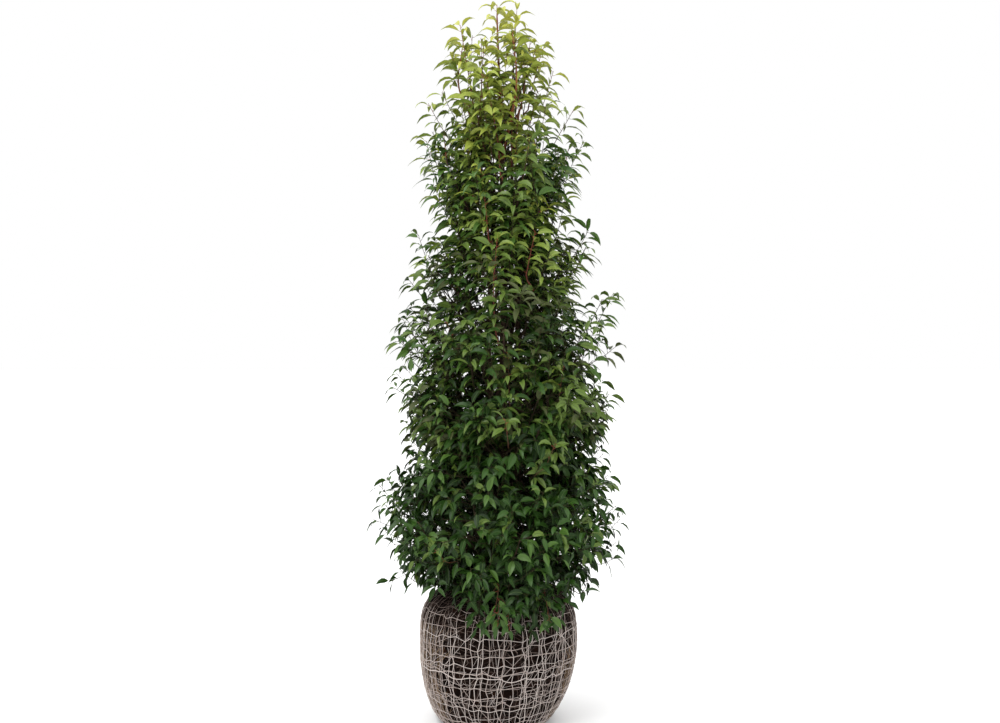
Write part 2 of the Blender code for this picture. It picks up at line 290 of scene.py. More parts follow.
# Meshes from arrays
class Pile:
    """Faces that become one piece."""

    def __init__(self):
        self.points, self.faces, self.slots, self.total = [], [], [], 0

    def add(self, points, faces, slots):
        points = np.asarray(points, float).reshape(-1, 3)
        self.points.append(points)
        self.total += len(points)
        self.more(faces, slots)

    def more(self, faces, slots):
        """Faces between points that were added by the last add."""
        self.faces += (np.asarray(faces) + self.total - len(self.points[-1])).tolist()
        self.slots.append(np.broadcast_to(slots, (len(faces),)))

    def piece(self, name, materials, replaced, creases=()):
        """Makes the piece, which replaces some nodes.

        creases is empty, or the number of points of a unit that repeats, and the pairs of
        its points that a sharp edge joins.
        """
        mesh = bpy.data.meshes.new(name)
        mesh.from_pydata(np.concatenate(self.points), [], self.faces)
        for material in materials:
            mesh.materials.append(material)
        mesh.polygons.foreach_set("material_index", np.concatenate(self.slots).astype(np.int32))
        mesh.validate()
        mesh.shade_smooth()
        if creases:
            each, pairs = creases
            ends = np.empty(2 * len(mesh.edges), np.int32)
            mesh.edges.foreach_get("vertices", ends)
            low, high = np.sort(ends.reshape(-1, 2) % each, axis=1).T
            sharp = np.isin(low * each + high, [a * each + b for a, b in pairs])
            mesh.attributes.new("sharp_edge", "BOOLEAN", "EDGE").data.foreach_set("value", sharp)
        made = bpy.data.objects.new(name, mesh)
        bpy.context.scene.collection.objects.link(made)
        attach(made, "root")
        if replaced:
            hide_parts(*replaced)


def ring_faces(rings, sides):
    """The quads between rings of points, and the faces that close the two ends."""
    low = np.arange(rings - 1)[:, None] * sides + np.arange(sides)
    turn = np.arange(rings - 1)[:, None] * sides + (np.arange(sides) + 1) % sides
    last = (rings - 1) * sides
    ends = [list(range(sides))[::-1], list(range(last, last + sides))]
    return np.stack((low, turn, turn + sides, low + sides), -1).reshape(-1, 4), ends


def frames_along(path):
    """Two crosswise unit vectors at each point of a path, without twist."""
    forward = unit(np.gradient(path, axis=0))
    side = np.array((1.0, 0.0, 0.0)) if abs(forward[0][0]) < 0.8 else np.array((0.0, 1.0, 0.0))
    sides = np.empty_like(path)
    for i, way in enumerate(forward):
        side = side - way * side.dot(way)
        side = side / max(math.sqrt(side.dot(side)), 1e-9)
        sides[i] = side
    return sides, np.cross(forward, sides)


def tube(pile, path, radii, sides, slot, relief=1.0):
    """A closed round limb along a path, with one slot or one for each of its segments.

    relief scales the points of its rings.
    """
    path = np.asarray(path, float)
    across, other = frames_along(path)
    angles = FULL_TURN * np.arange(sides) / sides
    out = np.broadcast_to(np.asarray(radii, float)[:, None], (len(path), sides)) * relief
    ring = across[:, None] * np.cos(angles)[None, :, None]
    ring = ring + other[:, None] * np.sin(angles)[None, :, None]
    quads, ends = ring_faces(len(path), sides)
    slots = np.broadcast_to(slot, (len(path) - 1,))
    pile.add(path[:, None] + ring * out[:, :, None], quads, np.repeat(slots, sides))
    pile.more(ends, slots[[0, -1]])


# Materials
MOTTLE_DETAIL, MOTTLE_ROUGHNESS = 6.0, 0.65
FINE_DETAIL = 5.0
RELIEF_HEIGHT = 0.002
WHITE = (1.0, 1.0, 1.0, 1.0)
GREY = (0.5, 0.5, 0.5, 1.0)


def srgb(*seen):
    """A colour as it is seen, from 0 to 255, as the linear values that a shader takes."""
    return tuple(((c / 255.0 + 0.055) / 1.055) ** 2.4 if c > 10 else c / 3294.6 for c in seen) + (1.0,)


def node(tree, kind, values=None, **sources):
    """A new node, with values on some inputs and other nodes' outputs linked to some."""
    made = tree.nodes.new("ShaderNode" + kind)
    for socket, value in (values or {}).items():
        made.inputs[socket].default_value = value
    for socket, source in sources.items():
        tree.links.new(source, made.inputs[socket])
    return made


def plain(name, colour, roughness, specular):
    made = bpy.data.materials.new(name)
    made.use_nodes = True
    shader = made.node_tree.nodes["Principled BSDF"]
    shader.inputs["Base Color"].default_value = colour
    shader.inputs["Roughness"].default_value = roughness
    shader.inputs["Specular IOR Level"].default_value = specular
    return made


def patterned(name, stops, scale, roughness, bump, bump_scale, stretch, specular):
    """A mottled material: noise through a colour ramp, and finer noise as relief."""
    made = plain(name, GREY, roughness, specular)
    tree = made.node_tree
    shader = tree.nodes["Principled BSDF"]
    place = node(tree, "TexCoord")
    mapped = node(tree, "Mapping", {"Scale": stretch}, Vector=place.outputs["Object"]).outputs["Vector"]
    mottling = {"Scale": scale, "Detail": MOTTLE_DETAIL, "Roughness": MOTTLE_ROUGHNESS}
    mottle = node(tree, "TexNoise", mottling, Vector=mapped)
    ramp = node(tree, "ValToRGB", Fac=mottle.outputs["Fac"])
    first, last = ramp.color_ramp.elements
    first.position, first.color = stops[0]
    last.position, last.color = stops[-1]
    for position, colour in stops[1:-1]:
        ramp.color_ramp.elements.new(position).color = colour
    tree.links.new(ramp.outputs["Color"], shader.inputs["Base Color"])
    fine = node(tree, "TexNoise", {"Scale": bump_scale, "Detail": FINE_DETAIL}, Vector=mapped)
    relief = node(tree, "Bump", {"Strength": bump, "Distance": RELIEF_HEIGHT}, Height=fine.outputs["Fac"])
    tree.links.new(relief.outputs["Normal"], shader.inputs["Normal"])
    return made


# Camera, which stands where the photograph's did
PHOTO_SIZE = (1000, 723)
CAMERA_AT = (0.0045, -4.0, 1.25)
CAMERA_LENS = 41.148
CAMERA_SENSOR = 36.0
FOCAL_PIXELS = PHOTO_SIZE[0] * CAMERA_LENS / CAMERA_SENSOR
MIDDLE_PIXEL = (0.5 * PHOTO_SIZE[0], 0.5 * PHOTO_SIZE[1])

view = bpy.data.cameras.new("camera")
view.lens, view.sensor_width = CAMERA_LENS, CAMERA_SENSOR
camera = bpy.data.objects.new("camera", view)
camera.location = CAMERA_AT
camera.rotation_euler = (math.radians(90.0), 0.0, 0.0)
bpy.context.scene.collection.objects.link(camera)
bpy.context.scene.camera = camera
bpy.context.scene.view_settings.view_transform = "Standard"


def at_pixel(px, py, y):
    """The point at depth y that the camera sees at a pixel of the photograph's frame."""
    far = y - CAMERA_AT[1]
    x = CAMERA_AT[0] + (px - MIDDLE_PIXEL[0]) * far / FOCAL_PIXELS
    return np.array((x, y, CAMERA_AT[2] + (MIDDLE_PIXEL[1] - py) * far / FOCAL_PIXELS))


def pixel_of(point):
    """The pixel of the photograph's frame at which the camera sees a point."""
    near = FOCAL_PIXELS / (point[1] - CAMERA_AT[1])
    px = MIDDLE_PIXEL[0] + (point[0] - CAMERA_AT[0]) * near
    return px, MIDDLE_PIXEL[1] - (point[2] - CAMERA_AT[2]) * near


# Light and floor
SKY_LOW, SKY_HIGH = 0.42, 2.1
KEY_AT, KEY_TOWARDS = (-1.8, -3.4, 4.6), (0.0, 0.0, 1.3)
KEY_SIZE, KEY_POWER = 1.8, 120.0
FLOOR_HALF = 150.0
FLOOR_COLOUR = (0.88, 0.88, 0.88, 1.0)
FLOOR_CORNERS = ((-1, -1), (1, -1), (1, 1), (-1, 1))


def studio():
    """A white backdrop, and a sky that is brighter overhead."""
    world = bpy.data.worlds.new("studio")
    world.use_nodes = True
    tree = world.node_tree
    place = node(tree, "TexCoord")
    split = node(tree, "SeparateXYZ", Vector=place.outputs["Generated"])
    height = node(tree, "MapRange", {"To Min": SKY_LOW, "To Max": SKY_HIGH}, Value=split.outputs["Z"])
    sky = node(tree, "Background", {"Color": WHITE}, Strength=height.outputs["Result"])
    backdrop = node(tree, "Background", {"Color": WHITE})
    seen = node(tree, "LightPath")
    either = node(tree, "MixShader", Fac=seen.outputs["Is Camera Ray"])
    tree.links.new(sky.outputs["Background"], either.inputs[1])
    tree.links.new(backdrop.outputs["Background"], either.inputs[2])
    tree.links.new(either.outputs["Shader"], tree.nodes["World Output"].inputs["Surface"])
    bpy.context.scene.world = world


def key_light():
    lamp = bpy.data.lights.new("key", "AREA")
    lamp.shape, lamp.size, lamp.energy = "DISK", KEY_SIZE, KEY_POWER
    held = bpy.data.objects.new("key", lamp)
    held.location = KEY_AT
    held.rotation_euler = (Vector(KEY_TOWARDS) - Vector(KEY_AT)).to_track_quat("-Z", "Y").to_euler()
    bpy.context.scene.collection.objects.link(held)


studio()
key_light()
floor_mesh = bpy.data.meshes.new("floor")
floor_mesh.from_pydata([(x * FLOOR_HALF, y * FLOOR_HALF, 0.0) for x, y in FLOOR_CORNERS], [], [(0, 1, 2, 3)])
floor_mesh.materials.append(plain("floor", FLOOR_COLOUR, 0.95, 0.0))
floor = bpy.data.objects.new("floor", floor_mesh)
bpy.context.scene.collection.objects.link(floor)

# Trunk and boughs
YOUNG_BARK_ABOVE_Z = 1.95
BARK_ROUND, BARK_RISE = 2.4, 0.077
BARK_FINE, BARK_FINE_SHARE = 2.7, 0.5
TRUNK_SUNK = 0.004
TRUNK_STEP, TRUNK_SIDES = 0.008, 20
TRUNK_SEED, TRUNK_RELIEF, TRUNK_RELIEF_RADIUS = 3.0, 0.0016, 0.02
BOUGH_STEP, BOUGH_SIDES = 0.011, 9
BOUGH_SEED, BOUGH_SEED_STEP, BOUGH_RELIEF, BOUGH_RELIEF_RADIUS = 7.0, 3.1, 0.0006, 0.006
CURVE_STEPS = 8
SPINE_TIP_RADIUS = 0.0012
SPINE_OVERLAP = 6  # points of a bough before its mass
UPRIGHT_ENDS = ((0.0, 0.05, 0.20), (0.0, 0.30, 0.80))
LATERAL_ENDS = ((0.0, 0.15, 0.05), (0.0, 0.55, 0.45))
ALONG_LIMB = (1.0, 1.0, 0.35)

OLD_BARK_STOPS = ((0.30, srgb(40, 27, 20)), (0.55, srgb(66, 46, 35)), (0.78, srgb(98, 76, 60)))
YOUNG_BARK_STOPS = ((0.30, srgb(92, 50, 32)), (0.55, srgb(128, 74, 46)), (0.78, srgb(156, 106, 70)))
BARKS = [
    patterned("bark", OLD_BARK_STOPS, 60.0, 0.8, 0.9, 420.0, ALONG_LIMB, 0.25),
    patterned("bark_young", YOUNG_BARK_STOPS, 60.0, 0.7, 0.6, 420.0, ALONG_LIMB, 0.25),
]

Mass = namedtuple("Mass", "label level place path")  # path is the bough's spine in the mass


def bark_relief(rings, sides, seed, depth, radius):
    """Ridges and lenticels round a limb, as shares of its radius."""

    def ridge(i, a):
        at = Vector((BARK_ROUND * math.cos(a) + seed, BARK_ROUND * math.sin(a), BARK_RISE * i))
        return noise.noise(at) + BARK_FINE_SHARE * noise.noise(at * BARK_FINE)

    made = [[ridge(i, FULL_TURN * k / sides) for k in range(sides)] for i in range(rings)]
    return 1.0 + depth * np.array(made) / radius


def bark_slots(path):
    return (0.5 * (path[1:, 2] + path[:-1, 2]) > YOUNG_BARK_ABOVE_Z).astype(int)


def even_path(path, step):
    """The same path with points at an even distance."""
    lengths = lengths_along(path)
    count = max(2, int(round(lengths[-1] / step)) + 1)
    return points_at(path, lengths, np.linspace(0.0, lengths[-1], count))


def trunk_bark():
    foot_z = BALL_HEIGHT - TRUNK_SUNK
    heights = np.arange(foot_z, TRUNK_TOP_Z + 0.001, TRUNK_STEP)
    line = np.array([polar(0.0, 0.0, z) for z in heights])
    share = np.clip((heights - foot_z) / (TRUNK_TOP_Z - foot_z), 0.0, 1.0)
    flare = np.exp(-(heights - foot_z) / FLARE_HEIGHT)
    radii = lerp(TRUNK_RADIUS, TRUNK_TIP_RADIUS, share**TRUNK_TAPER_POWER) + FLARE_RADIUS * flare
    around = FULL_TURN * np.arange(TRUNK_SIDES) / TRUNK_SIDES
    lobes = 1.0 + FLARE_LOBE_DEPTH * flare[:, None] * np.cos(FLARE_LOBES * around)
    relief = bark_relief(len(line), TRUNK_SIDES, TRUNK_SEED, TRUNK_RELIEF, TRUNK_RELIEF_RADIUS) * lobes
    pile = Pile()
    tube(pile, line, radii, TRUNK_SIDES, bark_slots(line), relief)
    pile.piece("trunk_bark", BARKS, ["trunk"])


def bough(pile, level, order, free_slots):
    """Adds one bough to the pile, and gives the mass that it carries."""
    tier, low, core, first, reaches = TIERS[level]
    label = f"{tier}_{order + 1}"
    azimuth = math.radians(first) + FULL_TURN * order / len(reaches)
    place = sector_place(label, level, azimuth, reaches[order])
    if tier in UPRIGHT_TIERS and order < UPRIGHTS_PER_TIER:
        slot = min(free_slots, key=lambda free: apart(free, azimuth))
        free_slots.remove(slot)
        start_z = UPRIGHT_LOWEST_Z + UPRIGHT_FORK_STEP * len(free_slots)
        knots = upright_knots(slot, start_z, low, core, place(*UPRIGHT_ENTRY))
        thick, thin, ends = UPRIGHT_RADIUS, UPRIGHT_TIP_RADIUS, UPRIGHT_ENDS
    else:
        slot = math.radians(LATERAL_SLOT_STEP * round(math.degrees(azimuth) / LATERAL_SLOT_STEP))
        knots = lateral_knots(slot, order, low, place(*LATERAL_ENTRY))
        thick, thin, ends = LATERAL_RADIUS, LATERAL_TIP_RADIUS, LATERAL_ENDS
    path = even_path(smooth_curve(knots + [place(*end) for end in ends], CURVE_STEPS), BOUGH_STEP)
    entry = int(np.argmin(np.linalg.norm(path - knots[-1], axis=1)))
    share = np.arange(len(path)) / max(1, entry)
    inside = np.clip((np.arange(len(path)) - entry) / max(1, len(path) - 1 - entry), 0.0, 1.0)
    radii = np.where(share < 1.0, lerp(thick, thin, share), lerp(thin, SPINE_TIP_RADIUS, inside**0.5))
    seed = BOUGH_SEED + level * BOUGH_SEED_STEP + order
    relief = bark_relief(len(path), BOUGH_SIDES, seed, BOUGH_RELIEF, BOUGH_RELIEF_RADIUS)
    tube(pile, path, radii, BOUGH_SIDES, bark_slots(path), relief)
    return Mass(label, level, place, path[max(0, entry - SPINE_OVERLAP):])


trunk_bark()
bough_pile = Pile()
open_slots = [math.radians(slot) for slot in UPRIGHT_SLOTS]
masses = [
    bough(bough_pile, level, order, open_slots)
    for level, tier in enumerate(TIERS)
    for order in range(len(tier[4]))
]
bough_pile.piece("bough_bark", BARKS, ["bough_" + mass.label for mass in masses])

# Twigs
SHOOT_STEP = 0.022
SHOOT_SWAY = 0.05
TWIG_STEP = 0.02
SHORTEST_TWIG = 0.006
BARE_SHARE = 0.35  # of the twig that joins a standing-out shoot to its limb
LIMB_SHARE, CURVE_REACH = 0.6, 0.9
NEAR_ENOUGH, BEHIND_COST, BELOW_COST = 0.012, 0.9, 0.5

Twig = namedtuple("Twig", "path parent level younger")  # parent is its number, or -1
Shoot = namedtuple("Shoot", "path level tone scale younger")


class Limbs:
    """All points that a new twig can leave from, with the twig that each belongs to."""

    def __init__(self):
        self.at, self.way = np.zeros((2, 0, 3))
        self.mass, self.twig = np.zeros((2, 0), int)

    def add(self, path, mass, twig):
        old = self.at, self.way, self.mass, self.twig
        new = path, unit(np.gradient(path, axis=0)), [mass] * len(path), [twig] * len(path)
        self.at, self.way, self.mass, self.twig = (np.concatenate(pair) for pair in zip(old, new))

    def nearest(self, base, mass):
        """The best point to grow from: near, and with base ahead of it rather than behind."""
        gap = base - self.at
        far = np.linalg.norm(gap, axis=1)
        ahead = np.einsum("ij,ij->i", gap, self.way) / np.maximum(far, 1e-6)
        rise = gap[:, 2] / np.maximum(far, 1e-6)
        cost = (far + NEAR_ENOUGH) * (1.0 + BEHIND_COST * (1.0 - ahead) + BELOW_COST * (1.0 - rise))
        if mass is not None:
            cost = np.where(self.mass == mass, cost, 1e9)
        return int(np.argmin(cost))


limbs = Limbs()
twigs = []
shoots = []
draw = random.Random(PLANT_SEED)
for number, mass in enumerate(masses):
    limbs.add(mass.path, number, -1)
tuft_heights = np.arange(TUFT_LOW_Z - 0.1, TRUNK_TOP_Z, TWIG_STEP)
limbs.add(np.array([polar(0.0, 0.0, z) for z in tuft_heights]), len(masses), -1)


def bending_shoot(base, way, length, turn, draw):
    """A shoot's path, from base along way, turning towards the sky by turn."""
    count = max(4, int(length / SHOOT_STEP))
    step = length / (count - 1)
    points, at, way = [base], np.array(base), unit(way)
    sway = np.array([draw.uniform(-1, 1), draw.uniform(-1, 1), 0.0]) * SHOOT_SWAY
    for _ in range(count - 1):
        way = unit(way + UP * (turn / (count - 1)) + sway * draw.uniform(-0.5, 1.0))
        at = at + way * step
        points.append(at)
    return np.array(points)


def grow_shoot(base, way, length, turn, mass, level, tone, scale, younger=0.0):
    """One leafy shoot, with the twig that joins it to the nearest limb of its mass, or of all."""
    path = bending_shoot(base, way, length, turn, draw)
    start = limbs.nearest(path[0], mass)
    a, b = limbs.at[start], path[0]
    far = float(np.linalg.norm(b - a))
    if far > SHORTEST_TWIG:
        lead = unit(LIMB_SHARE * limbs.way[start] + unit(b - a)) * far
        count = max(3, int(far / TWIG_STEP) + 2)
        arrival = unit(path[1] - path[0]) * far
        joined = hermite(a, lead * CURVE_REACH, b, arrival * CURVE_REACH, count)[:-1]
    else:
        joined = np.array([a])
    whole = np.concatenate((joined, path))
    number = len(twigs)
    twigs.append(Twig(whole, int(limbs.twig[start]), level, younger))
    limbs.add(whole[1:], int(limbs.mass[start]) if mass is None else mass, number)
    leafy = path if mass is not None else whole[int((len(joined) + 1) * BARE_SHARE):]
    shoots.append(Shoot(leafy, level, tone, scale, younger))


# For each tier: shoots in each mass, elevation of a shoot and its spread in degrees,
# least and greatest length, turn to the sky, leaf scale, how far out the dense body
# reaches (-1 the core, 1 the outline), and the share of shoots that stand out of it
HABIT = {
    "skirt": (104, 6, 26, 0.08, 0.14, 0.30, 0.92, 0.66, 0.14),
    "lower": (128, 18, 26, 0.08, 0.15, 0.45, 0.92, 0.98, 0.00),
    "middle": (68, 34, 24, 0.09, 0.17, 0.60, 0.94, 0.50, 0.12),
    "waist": (41, 48, 18, 0.12, 0.21, 0.60, 1.03, 0.30, 0.14),
    "upper": (31, 60, 12, 0.17, 0.28, 0.55, 1.09, 0.06, 0.16),
    "crown": (14, 68, 9, 0.20, 0.34, 0.45, 1.26, 0.20, 0.16),
}
LEAF_SCALES = [HABIT[tier][6] for tier in TIER_NAMES]
LONG_REACH_THINNER = 1.6
TOP_OVERLAP = {"skirt": 1.25, "lower": 1.05}
BOTTOM_OVERLAP = {"lower": -1.12}
BODY_SHIFT = {
    "skirt_4": -0.02,
    "skirt_5": 0.02,
    "lower_1": -0.04,
    "lower_3": -0.15,
    "lower_4": -0.24,
    "middle_1": -0.18,
    "waist_1": -0.04,
    "upper_1": -0.10,
}
LEAN_OUT = {"waist_1": -0.14, "upper_1": 0.28}
STRAY_EDGE = {"upper_1": 0.60, "lower_3": 0.7, "lower_4": 0.7}
HEM_IN = 0.62  # how much further in the lowest shoots of the skirt end
HEM_AS_IT_IS = "skirt_6"
DENSITY = {
    "skirt_5": 1.1,
    "skirt_6": 1.35,
    "middle_4": 0.85,
    "middle_5": 0.62,
    "waist_1": 1.15,
    "waist_4": 0.55,
}
HEM_FADE = (-0.1, -0.9)
BOTTOM, TOP, OUTERMOST = -0.95, 0.98, 0.98
BODY_DEEPEST, BODY_CROWDING = -0.80, 0.62
AZIMUTH_SPREAD = 0.45
LIFT_HIGH, LIFT_DEEP = 16.0, 10.0  # degrees more at the top of a mass, and deep inside it
TIP_INSIDE = 0.022


def plan_shoot(mass):
    """Where one shoot of a mass starts, its way and its length."""
    tier = TIER_NAMES[mass.level]
    _, elevation, spread, shortest, longest, turn, _, body_edge, strays = HABIT[tier]
    reach = TIERS[mass.level][4][int(mass.label[-1]) - 1]
    body_edge += BODY_SHIFT.get(mass.label, 0.0) - LONG_REACH_THINNER * (reach - 1.0)
    if draw.random() < strays:
        y = draw.uniform(body_edge, STRAY_EDGE.get(mass.label, OUTERMOST))
    else:
        y = lerp(BODY_DEEPEST, body_edge, draw.random() ** BODY_CROWDING)
    x = draw.uniform(-1.0, 1.0)
    z = draw.uniform(BOTTOM_OVERLAP.get(tier, BOTTOM), TOP_OVERLAP.get(tier, TOP))
    y += LEAN_OUT.get(mass.label, 0.0) * z
    if mass.level == 0 and mass.label != HEM_AS_IT_IS:
        y = max(BODY_DEEPEST, y - HEM_IN * fade(*HEM_FADE, z))
    tip = mass.place(x, y, z)
    off = tip - lean(tip[2])
    azimuth = math.atan2(off[1], off[0]) + draw.gauss(0.0, AZIMUTH_SPREAD)
    lift = elevation + draw.uniform(-spread, spread) + LIFT_HIGH * max(0.0, z) - LIFT_DEEP * y
    lift = math.radians(lift)
    length = draw.uniform(shortest, longest)
    level_part = math.cos(lift)
    way = np.array((math.cos(azimuth) * level_part, math.sin(azimuth) * level_part, math.sin(lift)))
    body = bending_shoot(np.zeros(3), way, length, turn, random.Random(draw.random()))
    out = off[:2] / max(1e-6, float(np.linalg.norm(off[:2])))
    tip[:2] -= out * TIP_INSIDE * max(0.0, y)
    return tip - body[-1], way, length


for number, mass in enumerate(masses):
    count, turn, scale = (HABIT[TIER_NAMES[mass.level]][k] for k in (0, 5, 6))
    planned = [plan_shoot(mass) for _ in range(int(count * DENSITY.get(mass.label, 1.0)))]
    planned.sort(key=lambda plan: float(np.linalg.norm(plan[0] - mass.path[0])))
    for base, way, length in planned:
        grow_shoot(base, way, length, turn, number, mass.level, draw.random(), scale)

# Shoots that stand out in the photograph: the pixels of the tip and of the lower end,
# depth, tier, how much younger than its height's leaves it is, and leaf scale
STANDING_OUT = (
    (463, 27, 475, 118, -0.02, "crown", 0.6, 1.25),
    (516, 13, 511, 118, -0.03, "crown", 0.9, 1.40),
    (556, 72, 538, 120, 0.00, "crown", 0.2, 1.2),
    (529, 40, 521, 108, -0.05, "crown", 1.1, 1.2),
    (497, 76, 500, 172, -0.12, "crown", 0.6, 1.5),
    (513, 98, 511, 168, -0.09, "crown", 0.7, 1.45),
    (452, 60, 466, 120, 0.03, "crown", 0.3, 1.2),
    (540, 48, 528, 110, 0.04, "crown", 0.6, 1.15),
    (427, 105, 451, 143, 0.00, "crown", 0.0, 1.15),
    (441, 94, 456, 120, 0.03, "crown", 0.0, 1.15),
    (431, 133, 450, 162, -0.04, "upper", 0.3, 1.15),
    (573, 108, 552, 148, 0.04, "crown", 0.0, 1.2),
    (566, 172, 549, 204, -0.10, "upper", 0.2, 1.2),
    (579, 254, 565, 286, -0.04, "waist", 0.2, 1.15),
    (409, 282, 428, 304, 0.02, "waist", 0.0, 1.1),
    (585, 142, 559, 190, 0.00, "upper", 0.0, 1.15),
    (483, 197, 489, 242, -0.22, "upper", 0.6, 1.2),
    (533, 232, 526, 276, -0.22, "upper", 1.0, 1.15),
    (489, 238, 495, 328, -0.26, "upper", 0.7, 1.3),
    (417, 236, 432, 274, 0.00, "upper", -0.4, 1.1),
    (602, 300, 587, 330, 0.02, "waist", 0.3, 1.05),
    (396, 338, 427, 365, -0.02, "waist", -0.2, 1.05),
    (402, 366, 420, 384, -0.06, "waist", 0.2, 1.0),
    (393, 389, 413, 399, 0.02, "middle", 0.0, 1.0),
    (446, 322, 457, 348, -0.24, "waist", 0.9, 1.15),
    (562, 366, 559, 402, -0.22, "middle", 1.1, 1.15),
    (508, 354, 509, 392, -0.25, "middle", 1.1, 1.15),
    (607, 404, 590, 422, 0.02, "middle", 0.0, 0.95),
    (505, 420, 508, 441, -0.36, "middle", 1.6, 1.0),
    (556, 444, 546, 466, -0.32, "lower", 1.5, 0.95),
    (386, 478, 402, 502, 0.00, "lower", 0.2, 0.95),
    (373, 521, 401, 530, 0.02, "skirt", 0.2, 0.95),
    (621, 521, 598, 541, 0.00, "skirt", 0.0, 0.95),
    (433, 548, 446, 562, -0.32, "skirt", 1.7, 1.0),
    (392, 583, 416, 569, 0.00, "skirt", 0.2, 0.95),
    (586, 581, 573, 554, -0.05, "skirt", -0.4, 1.0),
    (496, 615, 499, 585, -0.36, "skirt", 1.2, 1.05),
    (549, 621, 544, 588, -0.30, "skirt", 0.9, 1.0),
    (565, 604, 556, 586, -0.26, "skirt", 0.3, 0.9),
    (468, 604, 477, 578, -0.33, "skirt", 0.3, 1.0),
    (521, 612, 516, 586, -0.35, "skirt", 0.2, 1.0),
    (378, 486, 399, 508, -0.02, "lower", 0.2, 0.95),
    (384, 506, 404, 522, -0.10, "lower", 0.0, 0.95),
    (613, 295, 598, 322, 0.04, "waist", 0.2, 1.05),
    (602, 322, 582, 352, 0.00, "waist", 0.0, 1.0),
    (578, 372, 566, 400, -0.14, "middle", 0.7, 1.05),
    (404, 318, 424, 342, 0.00, "waist", 0.0, 1.05),
    (478, 628, 480, 602, -0.35, "skirt", 0.3, 0.95),
    (498, 624, 499, 598, -0.36, "skirt", 0.9, 1.0),
    (475, 618, 482, 592, -0.34, "skirt", 0.2, 0.95),
    (484, 630, 487, 602, -0.36, "skirt", 0.4, 1.0),
    (510, 628, 507, 600, -0.36, "skirt", 0.6, 1.0),
    (541, 624, 537, 598, -0.32, "skirt", -0.2, 0.95),
    (556, 622, 551, 598, -0.28, "skirt", 0.2, 0.95),
)
# The dark gaps between the sprays in the photograph: pixels of the middle, half width and
# half height of each. No leaf lies in them nearer to the camera than HOLLOW_BACK.
HOLLOWS = (
    (460, 280, 7, 9), (465, 310, 15, 8), (516, 325, 14, 9), (484, 378, 7, 11), (515, 388, 9, 8),
    (551, 400, 11, 9), (531, 410, 11, 17), (454, 416, 9, 12), (498, 449, 20, 11), (567, 476, 8, 9),
    (521, 480, 12, 15), (464, 488, 9, 19), (498, 490, 8, 9), (468, 516, 9, 12), (444, 528, 13, 12),
    (519, 529, 10, 10), (473, 545, 9, 14), (582, 563, 8, 9), (424, 573, 7, 9),
)
HOLLOW_BACK = -0.16
# The places where the photograph shows light through the plant, in the same way. No leaf
# crosses them at any depth.
CLEAR_GAPS = (
    (472, 45, 3, 6), (479, 92, 3, 5), (459, 92, 3, 3), (531, 132, 4, 3), (541, 96, 4, 4),
    (506, 75, 3, 3), (520, 116, 5, 4), (521, 92, 3, 4), (466, 120, 4, 4), (504, 176, 3, 3),
    (523, 180, 3, 3), (543, 154, 4, 4), (489, 236, 4, 3), (478, 212, 3, 3), (467, 216, 3, 2),
    (447, 237, 4, 3), (450, 298, 4, 3), (482, 306, 2, 4), (474, 309, 3, 2), (513, 337, 3, 2),
    (522, 337, 3, 3), (539, 315, 3, 3), (548, 280, 2, 4), (448, 333, 4, 3), (561, 331, 3, 3),
    (499, 345, 3, 3), (491, 358, 3, 3), (540, 366, 3, 3),
)
CLEAR_GAP_MARGIN = 0.5
STANDING_OUT_SCALE = (1.0, 1.0, 0.98, 0.96, 0.92, 0.90)  # from the skirt to the crown
LOW_END_DEPTH = 0.86
STANDING_OUT_TONE, STANDING_OUT_LONGER, STANDING_OUT_TURN = 0.6, 1.02, 0.12
for px, py, low_px, low_py, depth, tier, younger, scale in STANDING_OUT:
    tip, base = at_pixel(px, py, depth), at_pixel(low_px, low_py, depth * LOW_END_DEPTH)
    level = TIER_NAMES.index(tier)
    scale *= STANDING_OUT_SCALE[level]
    way, turn, tone = tip - base, STANDING_OUT_TURN, STANDING_OUT_TONE
    length = float(np.linalg.norm(way)) * STANDING_OUT_LONGER
    grow_shoot(base, way, length, turn, None, level, tone, scale, younger)

# The leader and the ends of the boughs carry leaves of their own
LEADER_FROM_Z, LEADER_TIP_Z = 1.98, 2.505
leader = np.array([polar(0.0, 0.0, z) for z in np.arange(LEADER_FROM_Z, LEADER_TIP_Z, TWIG_STEP)])
shoots.append(Shoot(leader, UPPER_LEVEL, tone=0.7, scale=1.30, younger=0.45))
twigs.append(Twig(leader[-4:], parent=-1, level=CROWN_LEVEL, younger=0.6))
for mass in masses:
    end = mass.path[-max(6, len(mass.path) // 2):]
    shoots.append(Shoot(end, mass.level, tone=0.5, scale=LEAF_SCALES[mass.level], younger=0.0))

# Leaves, placed along the shoots
LEAF_LENGTH = 0.067
LEAF_WIDTH = 0.0215
LEAF_PITCHES = (0.0205, 0.0205, 0.0205, 0.0182, 0.0150, 0.0153)  # from the skirt to the crown
SHORT_LEAF_BELOW_Z, LONG_LEAF_ABOVE_Z = 0.9, 1.6
ROLL_LOW, ROLL_HIGH, ROLL_MOST = 0.55, 0.50, 1.1
FACE_AXIS, FACE_UP, FACE_OUT = 0.55, 0.65, 0.30
ANY_WAY, OTHER_WAY = (0.31, 0.95, 0.05), (0.3, 0.5, 0.81)
LEAF_SAG, LEAF_SHARES = 0.3, (0.2, 0.5, 0.8)
LOW_SPREAD, SPREAD_JITTER = 66.0, 9.0  # degrees between a leaf and its shoot
SIZES, WIDTHS, FOLDS, PITCHES = (0.80, 1.14), (0.86, 1.14), (14.0, 38.0), (0.8, 1.2)
SMALL_BELOW, SMALL_FADE = 0.85, (0.40, 0.60)
LENGTH_LOW, LENGTH_HIGH = 0.94, 1.08
WIDTH_LOW, WIDTH_HIGH, WIDTH_TOP, TOP_FADE = 1.05, 0.88, 0.05, (1.95, 2.20)
TURN_JITTER = 0.25
